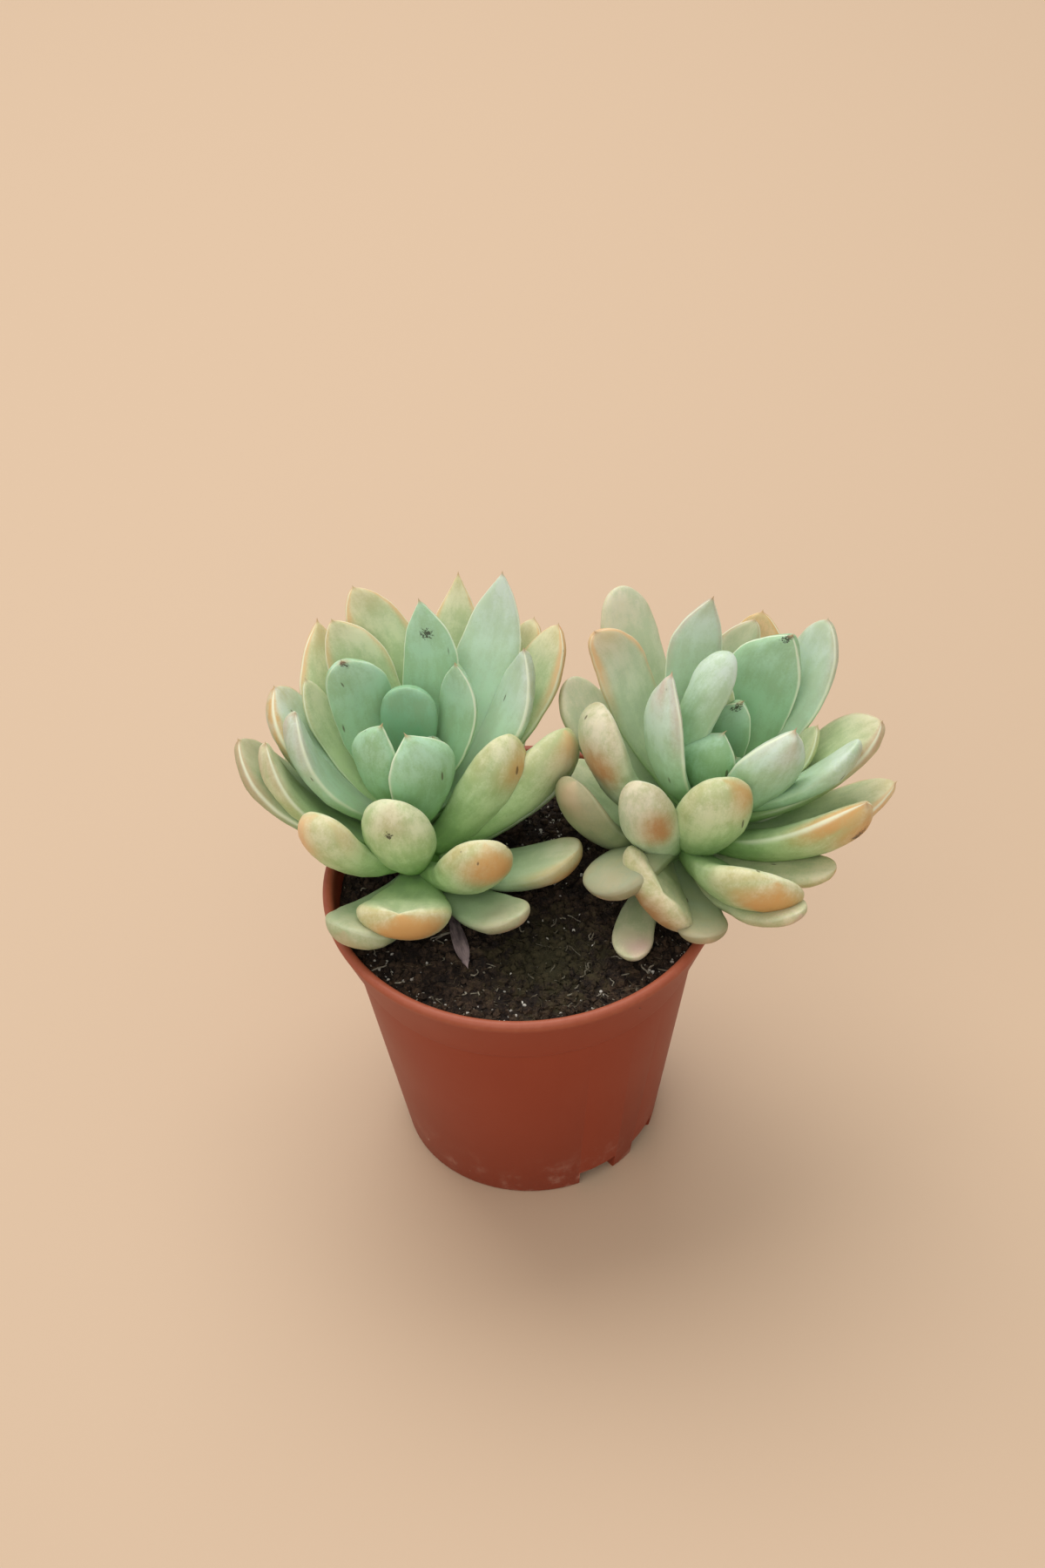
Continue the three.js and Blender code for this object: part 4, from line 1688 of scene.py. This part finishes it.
def open_interface(group: bpy.types.NodeTree, numbers: Sequence[str]) -> dict[str, str]:
    """Gives a geometry tree its sockets.

    Args:
        group: The tree.
        numbers: Names of its number inputs.

    Returns:
        Each number input's identifier by its name.
    """
    group.interface.new_socket("Geometry", in_out="INPUT", socket_type="NodeSocketGeometry")
    group.interface.new_socket("Geometry", in_out="OUTPUT", socket_type="NodeSocketGeometry")
    identifiers = {}
    for name in numbers:
        socket = group.interface.new_socket(name, in_out="INPUT", socket_type="NodeSocketFloat")
        identifiers[name] = socket.identifier
    return identifiers


@dataclass
class Soil:
    """Peat filling with an uneven top.

    Attributes:
        pot: The pot that holds it.
        gap: Space between it and the pot.
        depth: Depth of its top under the rim.
        relief: Height of its gentle mounds.
        lumps: Height of its lumps.
        sides: Sides of the round mesh.
        rings: Rings of the top.
        inset: Width of the edge that holds no grains.
        crown_gap: Place between the two crowns, where grit gathers.
    """

    pot: Pot
    gap: float = 0.3
    depth: float = 4.4
    relief: float = 0.3
    lumps: float = 0.55
    sides: int = 144
    rings: int = 70
    inset: float = 0.7
    crown_gap: tuple[float, float] = (7.0, 16.0)

    @property
    def top(self) -> float:
        """Height of the soil's level."""
        return self.pot.height - self.depth

    @property
    def edge(self) -> float:
        """Radius of the soil's surface."""
        pot = self.pot
        slope = (pot.rim_inner - 0.3 - pot.collar_inner) / (pot.collar_height - 2.4)
        return pot.collar_inner + slope * (self.top - pot.collar_foot - 0.2) - 0.05

    def height(self, x: float, y: float) -> float:
        """Height of the soil's surface.

        Args:
            x: Place across.
            y: Place along.

        Returns:
            The height.
        """
        broad = math.sin(0.23 * x + 1.1) * math.cos(0.27 * y - 0.5)
        fine = math.sin(0.7 * y + 0.4 * x) * math.cos(0.6 * x)
        place = Vector((x, y, 0))
        uneven = noise.fractal(place * 0.45, 1.0, 2.0, 4)
        return self.top + self.relief * (0.7 * broad + 0.3 * fine) + self.lumps * uneven

    def build(self, peat: bpy.types.Material) -> bpy.types.Object:
        """Makes the soil and lets it stand for its CAD node.

        Args:
            peat: The soil's material.

        Returns:
            The soil.
        """
        pot = self.pot
        gap = self.gap
        inner = [
            (0, pot.floor + gap), (pot.base_inner - gap, pot.floor + gap),
            (pot.body_inner - gap, pot.collar_foot - 0.6),
            (pot.collar_inner - gap, pot.collar_foot + 0.5),
        ]
        shares = [1 - i / self.rings for i in range(self.rings)]
        profile = inner + [(self.edge * share, self.top) for share in shares] + [(0, self.top)]
        draft = lathe(profile, self.sides)
        for point in draft.points:
            if point.z > self.top - 0.1:
                point.z = self.height(point.x, point.y)
        obj = draft.build("potting_soil", peat)
        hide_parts("soil")
        return obj

    def surface(self, peat: bpy.types.Material) -> bpy.types.Object:
        """Surface over which grains are strewn, with a density for each kind.

        Args:
            peat: A material for the surface.

        Returns:
            The surface.
        """
        draft = Draft()
        turns = [2 * math.pi * j / self.sides for j in range(self.sides)]
        rows: list[int] = []
        for i in range(1, self.rings + 1):
            radius = (self.edge - self.inset) * i / self.rings
            points = [Vector((radius * math.cos(t), radius * math.sin(t), 0)) for t in turns]
            for point in points:
                point.z = self.height(point.x, point.y)
            shares = {
                "peat": [1.0] * self.sides,
                "grit": [self.grit(point) for point in points],
                "fibre": [self.fibre(point) for point in points],
            }
            rows.append(draft.ring(points, **shares))
        for outer, inner in zip(rows[1:], rows):
            draft.bridge(outer, inner, self.sides)
        return draft.build("soil_surface", peat)

    def grit(self, place: Vector) -> float:
        """Share of grit, most at the front edge and between the crowns.

        Args:
            place: Place on the soil.

        Returns:
            The share.
        """
        front = between(0.75, 0.98, place.xy.length / self.edge) * between(0.0, 20.0, -place.y)
        x, y = self.crown_gap
        middle = math.exp(-((place.x - x) / 7) ** 2 - ((place.y - y) / 10) ** 2)
        return 0.05 + 0.95 * max(front, middle)

    def fibre(self, place: Vector) -> float:
        """Share of fibres at a place, most towards the front."""
        return 0.35 + 0.65 * between(5.0, -20.0, place.y) if place.y < 5 else 0.35


# Stage


@dataclass(frozen=True)
class Camera:
    """Camera at the photograph's viewing angle."""

    place: Point = (0.81, -304.65, 364.73)
    pitch: float = 42.44
    roll: float = 2.44
    lens: float = 52.5
    sensor: float = 36.0

    def build(self) -> bpy.types.Object:
        """Makes the camera and gives it to the scene.

        Returns:
            The camera.
        """
        pitch = math.radians(self.pitch)
        roll = math.radians(self.roll)
        forward = Vector((0, math.cos(pitch), -math.sin(pitch)))
        across = Vector((1, 0, 0))
        down = Vector((0, -math.sin(pitch), -math.cos(pitch)))
        right = across * math.cos(roll) + down * math.sin(roll)
        under = down * math.cos(roll) - across * math.sin(roll)
        data = bpy.data.cameras.new("camera")
        data.sensor_fit = "VERTICAL"
        data.sensor_height = self.sensor
        data.lens = self.lens
        data.clip_start = 0.01
        data.clip_end = 20.0
        camera = bpy.data.objects.new("camera", data)
        turn = Matrix((right, -under, -forward)).transposed().to_4x4()
        camera.matrix_world = Matrix.Translation(Vector(self.place) * MILLIMETRE) @ turn
        bpy.context.scene.collection.objects.link(camera)
        bpy.context.scene.camera = camera
        return camera


@dataclass(frozen=True)
class Studio:
    """Plain pale floor under soft light from above and behind."""

    floor: FloorPaint = FloorPaint()
    floor_width: float = 5000.0
    sky: float = 0.6

    def build(self) -> None:
        """Makes the floor, the lights and the sky."""
        draft = Draft()
        half = self.floor_width / 2
        corners = [Vector((x * half, y * half, 0)) for x, y in ((-1, -1), (1, -1), (1, 1), (-1, 1))]
        first = draft.ring(corners)
        draft.faces.append(tuple(range(first, first + len(corners))))
        floor = draft.build("floor", self.floor.build())
        self._lamp("window", (-0.15, 0.55, 1.1), size=1.0, power=11.0, colour=(1.0, 0.99, 0.97))
        self._lamp("room", (-0.3, -0.9, 1.0), size=1.4, power=6.8, colour=(1.0, 0.98, 0.95))
        world = bpy.data.worlds.new("sky")
        world.use_nodes = True
        graph = Graph(world.node_tree)
        light = {"Color": (0.95, 0.97, 1.0, 1.0), "Strength": self.sky}
        sky = graph.out("ShaderNodeBackground", {}, light)
        graph.add("ShaderNodeOutputWorld", {}, {"Surface": sky})
        bpy.context.scene.world = world
        bpy.context.scene.view_settings.view_transform = "Standard"

    @staticmethod
    def _lamp(name: str, place: Point, size: float, power: float, colour: Point) -> None:
        """Adds a square area light that faces the plant.

        Args:
            name: The light's name.
            place: Its place in metres.
            size: Its width in metres.
            power: Its power in watts.
            colour: Its colour.
        """
        data = bpy.data.lights.new(name, "AREA")
        data.size = size
        data.energy = power
        data.color = colour
        lamp = bpy.data.objects.new(name, data)
        lamp.location = place
        aim = Vector((0, 0, 0.06)) - Vector(place)
        lamp.rotation_euler = aim.to_track_quat("-Z", "Y").to_euler()
        bpy.context.scene.collection.objects.link(lamp)


def main() -> None:
    """Builds the plant piece by piece, and the stage round it."""
    logging.basicConfig(level=logging.INFO, format="%(message)s")
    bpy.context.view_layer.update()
    Camera().build()
    Studio().build()
    pot = Pot()
    soil = Soil(pot)
    peat = Peat("peat", "17100c", "3a2a1f").build()
    skin = LeafSkin().build()
    pieces = [pot.build(PotPlastic().build()), soil.build(peat)]
    surface_mesh = soil.surface(peat)
    strewn = (
        (Scatter("peat_crumbs", 0.8, 0.3, 1.4, 11, "peat"), Peat("crumb", "150e0a", "564230")),
        (Scatter("perlite_grit", 0.7, 0.12, 0.5, 23, "grit"), Mineral("perlite", "cfcabe", "8b8174")),
        (Fibres("peat_fibres", 0.2, 2.0, 6.0, 37, "fibre"), Peat("fibre", "33281c", "7d7058")),
        (Fibres("bark_shreds", 0.08, 1.2, 3.5, 41, "fibre", radius=0.16),
         Peat("shred", "6a6050", "bdb4a0")),
    )
    pieces += [scatter.build(surface_mesh, finish.build()) for scatter, finish in strewn]
    bpy.data.objects.remove(surface_mesh)
    left = Rosette("left_rosette", "rosette_left", "leaf_left", foot=(-19, 3, 62),
                   heart=(-20.5, 8.5, 76), leaves=LEFT_LEAVES, seed=1)
    right = Rosette("right_rosette", "rosette_right", "leaf_right", foot=(27, 3.5, 62),
                    heart=(37.5, 8, 76), leaves=RIGHT_LEAVES, seed=51)
    pieces += [left.build(skin), right.build(skin)]
    tan_paper = DriedLeaf("dried_leaf", "b08a5e", "6b4a2e").build()
    grey_paper = DriedLeaf("withered_leaf", "94807e", "544646").build()
    dried = LooseLeaf("dried_leaf", tuple(left.root_of(DRIED_LEAF)), DRIED_LEAF, 97).build(tan_paper)
    withered = LooseLeaf("shrivelled_leaf", WITHERED_ROOT, WITHERED_LEAF, 98).build(grey_paper)
    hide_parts("withered_leaf")
    pieces += [dried, withered]
    for piece in pieces:
        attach(piece, "root")
        log.info("%s: %d triangles", piece.name, sum(len(p.vertices) - 2 for p in piece.data.polygons))


if __name__ == "__main__":
    main()
